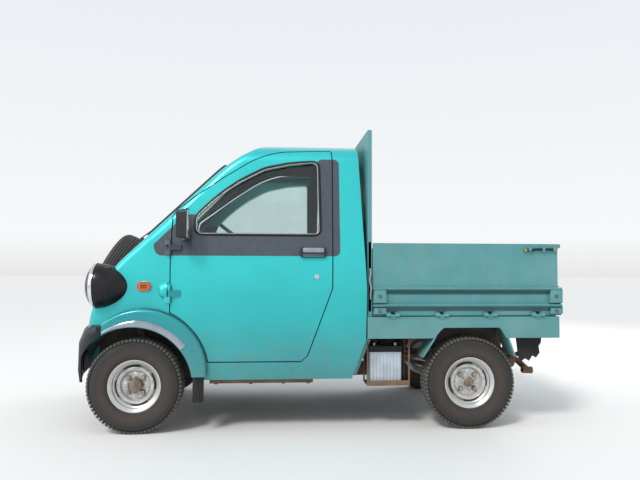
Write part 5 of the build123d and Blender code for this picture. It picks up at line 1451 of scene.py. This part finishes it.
postTrim = {
    "postFront": 1.263, "postRear": 1.2845, "postY": 0.598, "postThick": 0.014, "postLow": 0.650, "postHigh": 1.040,
    "curlX": 1.272, "curlY": 0.619, "curl": 0.0055, "braceTop": (1.272, 0.575, 0.500),
    "braceFoot": (1.196, 0.552, 0.302), "brace": (0.012, 0.0025),
}
curlPath = (
    # back, out, height
    (0.0, 0.0, 0.890), (0.006, 0.004, 0.872), (0.002, 0.006, 0.850), (-0.003, 0.004, 0.826), (0.004, 0.006, 0.800),
    (0.008, 0.008, 0.775), (0.002, 0.006, 0.745), (0.006, 0.004, 0.720),
)


def sideVector(place, sign):
    x, y, z = place
    return Vector((station(x), sign * y, z))


def makePostTrim(values):
    # each gate's front post with its curled latch, and the diagonal braces below the bed
    for side, sign in sides:
        posts = bmesh.new()
        y0, y1 = slab(sign, values["postY"], values["postThick"])
        addBox(posts, (station(values["postFront"]), y0, values["postLow"]),
               (station(values["postRear"]), y1, values["postHigh"]), 0.003, 2)
        finishPiece(posts, "front_post_" + side, "bedTurquoise", "root", angle=30)
        curl = [sideVector((values["curlX"] + dx, values["curlY"] + dy, z), sign) for dx, dy, z in curlPath]
        tubePiece("gate_latch_" + side, curl, values["curl"], "brushedSteel", "root", smooth=True)
        brace = bmesh.new()
        top, foot = sideVector(values["braceTop"], sign), sideVector(values["braceFoot"], sign)
        wide, thick = values["brace"]
        addBox(brace, (-wide, -thick, 0), (wide, thick, (top - foot).length), 0.001, 1)
        bmesh.ops.transform(brace, matrix=facing(foot, top - foot, (0, 1, 0)), verts=brace.verts)
        finishPiece(brace, "bed_brace_" + side, "bedTurquoise", "root", angle=30)


makeGateTrim(gateTrim)
makePostTrim(postTrim)

# Battery: a ribbed pale case with a black lid, its caps and terminals

batteryLook = {
    "ribs": 9, "topHeight": 0.034, "topGap": 0.014, "inset": 0.004, "ribDepth": 0.01, "ribShare": 0.3, "ribEnd": 0.008,
    "caps": 6, "capEnd": 0.025, "capRow": 0.02, "terminalIn": 0.033, "terminalRow": -0.03,
}
capProfile = ((0, 0.004), (0.008, 0.004), (0.0095, 0.002), (0.0095, -0.002), (0, -0.002))
terminalProfile = ((0, 0.014), (0.0075, 0.014), (0.009, 0.0), (0.009, -0.002), (0, -0.002))


def makeBattery(values):
    low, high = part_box("battery")
    middleY, inset, deep = (low.y + high.y) / 2, values["inset"], values["ribDepth"]
    caseTop = high.z - values["topGap"] - values["topHeight"]
    lidTop = caseTop + values["topHeight"]
    body, lid, terminals = bmesh.new(), bmesh.new(), bmesh.new()
    addBox(body, (low.x + inset, low.y + inset, low.z + 0.0005), (high.x - inset, high.y - inset, caseTop), 0.003, 2)
    pitch = (high.x - low.x - 2 * values["ribEnd"]) / values["ribs"]
    half = pitch * values["ribShare"]
    for index in range(values["ribs"]):
        x = low.x + values["ribEnd"] + (index + 0.5) * pitch
        for y0, y1 in ((low.y, low.y + deep), (high.y - deep, high.y)):
            addBox(body, (x - half, y0, low.z + 0.012), (x + half, y1, caseTop - 0.010), 0.0015, 1)
    case = finishPiece(body, "battery_case", "batteryCase", "root", angle=30)
    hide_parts("battery")
    addBox(lid, (low.x, low.y, caseTop), (high.x, high.y, lidTop), 0.004, 2)
    for index in range(values["caps"]):
        x = low.x + values["capEnd"] + index * (high.x - low.x - 2 * values["capEnd"]) / (values["caps"] - 1)
        addMesh(lid, turnedPart(capProfile, 20), Matrix.Translation((x, middleY + values["capRow"], lidTop)))
    finishPiece(lid, "battery_lid", "satinBlack", "root", angle=30)
    for x in (low.x + values["terminalIn"], high.x - values["terminalIn"]):
        place = (x, middleY + values["terminalRow"], lidTop)
        addMesh(terminals, turnedPart(terminalProfile, 20), Matrix.Translation(place))
    finishPiece(terminals, "battery_terminals", "brushedSteel", "root", angle=30)


makeBattery(batteryLook)

# Below the body: a rusty rail along the sill, the tail pipe's open end and the torn flap behind the left rear wheel

under = {"railFront": 0.395, "railRear": 0.965, "railY": 0.505, "railWide": 0.045, "railLow": 0.244, "railHigh": 0.2845,
         "railLip": 0.012, "bolts": (0.43, 0.62, 0.80, 0.94), "flapY": -0.566, "flapThick": 0.006}
tailPipe = ((0.0195, -0.05), (0.021, -0.045), (0.021, 0.012), (0.0205, 0.014), (0.0175, 0.014), (0.0165, 0.012),
            (0.0165, 0.0))
tornOutline = (
    # x, z round the flap, with the tears along its lower edge
    (2.118, 0.512), (2.270, 0.512), (2.266, 0.470), (2.252, 0.452), (2.258, 0.414), (2.236, 0.386), (2.214, 0.398),
    (2.196, 0.368), (2.172, 0.382), (2.150, 0.366), (2.132, 0.392), (2.126, 0.450),
)


def makeUnder(values):
    for side, sign in sides:
        rail = bmesh.new()
        y0, y1 = slab(sign, values["railY"], values["railWide"])
        addBox(rail, (station(values["railFront"]), y0, values["railLow"] + values["railLip"]),
               (station(values["railRear"]), y1, values["railHigh"]), 0.003, 2)
        for x in values["bolts"]:
            place = (station(x), (y0 + y1) / 2, values["railLow"] + 0.010)
            addMesh(rail, boltPart(0.007, 0.006), Matrix.Translation(place))
        finishPiece(rail, "sill_rail_" + side, "rustySteel", "root", angle=30)
    low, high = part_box("exhaust")
    pipe = turnedRing(tailPipe, 40)
    mouth = Vector((high.x - 0.006, low.y + 0.021, low.z + 0.020))
    bmesh.ops.transform(pipe, matrix=facing(mouth, (1, 0, -0.06)), verts=pipe.verts)
    finishPiece(pipe, "tail_pipe_tip", "rustySteel", "root", angle=40)
    flap = bmesh.new()
    face = flap.faces.new([flap.verts.new((station(x), values["flapY"], z)) for x, z in tornOutline])
    thicken(flap, [face], (0, values["flapThick"], 0))
    finishPiece(flap, "torn_flap", "flapRubber", "root", angle=30)


makeUnder(under)

# Black walls inside the rear wheel arches as painted shade for the dark structure under the bed, aprons of the front
# mud flaps and the skirts' rolled edges

arches = {"shadeWallY": 0.446, "shadeWallThick": 0.004, "shadeWallFront": 1.630, "shadeWallRear": 2.050, "shadeWallLow": 0.425,
          "shadeWallHigh": 0.612, "apronFront": 0.312, "apronRear": 0.372, "apronLow": 0.170, "apronHigh": 0.300,
          "apronY": 0.612, "apronThick": 0.006, "edge": 0.0032, "edgeY": 0.6295, "slotXs": (1.400, 1.674, 1.948, 2.222),
          "slotHalf": 0.028, "slotY": 0.606, "slotDeep": 0.0068, "slotLow": 0.6425, "slotHigh": 0.6555}
skirtEdge = ((1.262, 0.5085), (1.628, 0.5085), (1.668, 0.553), (1.684, 0.5655), (1.700, 0.5665), (1.985, 0.5665),
             (2.000, 0.5655), (2.013, 0.553), (2.040, 0.5085), (2.343, 0.5085))


def makeArchTrim(values):
    for side, sign in sides:
        wall, apron, slots = bmesh.new(), bmesh.new(), bmesh.new()
        # painted shade: a black wall inside each rear arch, for the dark space under the bed
        y0, y1 = slab(sign, values["shadeWallY"], values["shadeWallThick"])
        addBox(wall, (station(values["shadeWallFront"]), y0, values["shadeWallLow"]),
               (station(values["shadeWallRear"]), y1, values["shadeWallHigh"]), 0.0015, 1)
        finishPiece(wall, "arch_shade_wall_" + side, "chassisBlack", "root", angle=30)
        y0, y1 = slab(sign, values["apronY"], values["apronThick"])
        addBox(apron, (station(values["apronFront"]), y0, values["apronLow"]),
               (station(values["apronRear"]), y1, values["apronHigh"]), 0.002, 2)
        finishPiece(apron, "flap_apron_" + side, "flapRubber", "root", angle=30)
        line = [Vector((station(x), sign * values["edgeY"], z)) for x, z in skirtEdge]
        tubePiece("skirt_edge_" + side, line, values["edge"], "bedTurquoise", "root")
        # black insets at the gate hinges, painted shade in the slots' hollows
        y0, y1 = slab(sign, values["slotY"], values["slotDeep"])
        for x in values["slotXs"]:
            addBox(slots, (station(x) - values["slotHalf"], y0, values["slotLow"]),
                   (station(x) + values["slotHalf"], y1, values["slotHigh"]), 0.001, 1)
        finishPiece(slots, "hinge_slot_shade_" + side, "satinBlack", "side_gate_" + side, angle=30)


makeArchTrim(arches)

# Rolled rails that stand out along the ribs of each side gate, and a black sheet behind the bumper's air slots, painted
# shade in the openings

gateRails = {"front": 1.352, "rear": 2.300, "heights": (0.6885, 0.7805), "y": 0.6275, "radius": 0.0052}
grilleShadeSheet = {"half": 0.284, "levels": (0.285, 0.315, 0.349, 0.382), "columns": 12, "gap": 0.003, "thick": 0.003,
              "castFrom": -0.2}


def makeGateRails(values):
    for side, sign in sides:
        rails = bmesh.new()
        for z in values["heights"]:
            line = [Vector((station(x), sign * values["y"], z)) for x in (values["front"], values["rear"])]
            addMesh(rails, tubeMesh(line, values["radius"], segments=16))
        finishPiece(rails, "gate_rails_" + side, "bedTurquoise", "side_gate_" + side, angle=50)


# painted shade: a black sheet just behind the bumper's air slots, so the openings read dark
def makeGrilleShadeSheet(values):
    bm = bmesh.new()
    rows = len(values["levels"]) - 1
    bmesh.ops.create_grid(bm, x_segments=values["columns"], y_segments=rows, size=0.5)
    for vertex in bm.verts:
        y = 2 * values["half"] * vertex.co.x
        z = values["levels"][round((vertex.co.y + 0.5) * rows)]
        wall = onSkin(["front_bumper"], (station(values["castFrom"]), y, z), (-1, 0, 0))
        vertex.co = (wall.x + values["gap"], y, z)
    thicken(bm, bm.faces[:], (values["thick"], 0, 0))
    finishPiece(bm, "grille_shade_sheet", "roughBlack", "root", angle=30)


makeGateRails(gateRails)
makeGrilleShadeSheet(grilleShadeSheet)
print("bed and underside trim made")

# Dashboard trim: a hooded cluster with two plain dials, air vents and a radio face

dash = {"driverY": 0.265, "hoodFront": 0.205, "hoodRear": 0.325, "hoodHalf": 0.155, "hoodLow": 0.985, "hoodHigh": 1.072,
        "dialX": 0.3255, "dialZ": 1.030, "dialRadius": 0.042, "dialGap": 0.06, "ventYs": (-0.47, -0.10, 0.02, 0.50),
        "ventLow": 0.905, "ventPitch": 0.011, "slats": 5, "ventHalf": 0.045, "radioY": -0.02, "radioZ": 0.80,
        "radio": (0.080, 0.025), "castFrom": 0.6}


def onDash(y, z, values):
    return onSkin(["dashboard"], (station(values["castFrom"]), y, z), (-1, 0, 0))


def makeDashTrim(values):
    hood, dials, rims, vents, radio = (bmesh.new() for piece in range(5))
    y, reach = values["driverY"], values["dialRadius"]
    addBox(hood, (station(values["hoodFront"]), y - values["hoodHalf"], values["hoodLow"]),
           (station(values["hoodRear"]), y + values["hoodHalf"], values["hoodHigh"]), 0.02, 4)
    finishPiece(hood, "cluster_hood", "dashGrey", "root", angle=40)
    face = ((0, 0.0005), (reach - 0.006, 0.0005), (reach - 0.006, -0.004), (0, -0.004))
    rim = ((reach - 0.006, 0), (reach - 0.003, 0.003), (reach, 0), (reach - 0.001, -0.004), (reach - 0.006, -0.004))
    for offset in (-values["dialGap"], values["dialGap"]):
        there = facing((station(values["dialX"]), y + offset, values["dialZ"]), (1, 0, 0.18))
        addMesh(dials, turnedPart(face, 40), there)
        addMesh(rims, turnedRing(rim, 40), there)
    finishPiece(dials, "dial_faces", "satinBlack", "root", angle=30)
    finishPiece(rims, "dial_rims", "brushedSteel", "root", angle=40)
    half = values["ventHalf"]
    for middle in values["ventYs"]:
        for row in range(values["slats"]):
            z = values["ventLow"] + row * values["ventPitch"]
            spot = onDash(middle, z, values)
            if spot is not None:
                addBox(vents, (spot.x - 0.002, middle - half, z - 0.003), (spot.x + 0.0035, middle + half, z + 0.003),
                       0.001, 1)
    finishPiece(vents, "vent_slats", "satinBlack", "root", angle=30)
    spot = onDash(values["radioY"], values["radioZ"], values)
    wide, tall = values["radio"]
    addBox(radio, (spot.x - 0.004, -wide, values["radioZ"] - tall),
           (spot.x + 0.006, wide, values["radioZ"] + tall), 0.003, 2)
    finishPiece(radio, "radio_face", "satinBlack", "root", angle=30)


makeDashTrim(dash)
print("dash made")

# Door linings: a window winder and a pull on each inner skin

winder = {"x": 0.48, "z": 0.86, "arm": 0.006, "pullX": 0.76, "pullZ": 0.93, "pull": 0.010}
winderBoss = ((0, 0.016), (0.014, 0.015), (0.018, 0.010), (0.02, 0), (0, 0))
winderKnob = ((0, 0.026), (0.009, 0.025), (0.012, 0.014), (0.009, 0), (0, 0))
armPath = ((0, 0.012, 0), (0.05, 0.018, -0.03), (0.085, 0.02, -0.05))  # back, inwards, up
pullPath = ((-0.09, -0.002, 0), (-0.085, 0.03, 0), (0.085, 0.03, 0), (0.09, -0.002, 0))


def makeDoorLinings(values):
    for side, sign in sides:
        body = "door_" + side
        inner = onSkin([body], (station(values["x"]), 0, values["z"]), (0, sign, 0))
        bm = bmesh.new()
        addMesh(bm, turnedPart(winderBoss, 28), facing(inner, (0, -sign, 0)))
        arm = [inner + Vector((x, -sign * y, z)) for x, y, z in armPath]
        addMesh(bm, tubeMesh(arm, values["arm"]))
        addMesh(bm, turnedPart(winderKnob, 24), facing(arm[-1], (0, -sign, 0)))
        finishPiece(bm, "window_winder_" + side, "satinBlack", body, angle=40)
        spot = onSkin([body], (station(values["pullX"]), 0, values["pullZ"]), (0, sign, 0))
        pull = [spot + Vector((x, -sign * y, z)) for x, y, z in pullPath]
        tubePiece("door_pull_" + side, pull, values["pull"], "roughBlack", body, smooth=True)


makeDoorLinings(winder)
print("linings made")
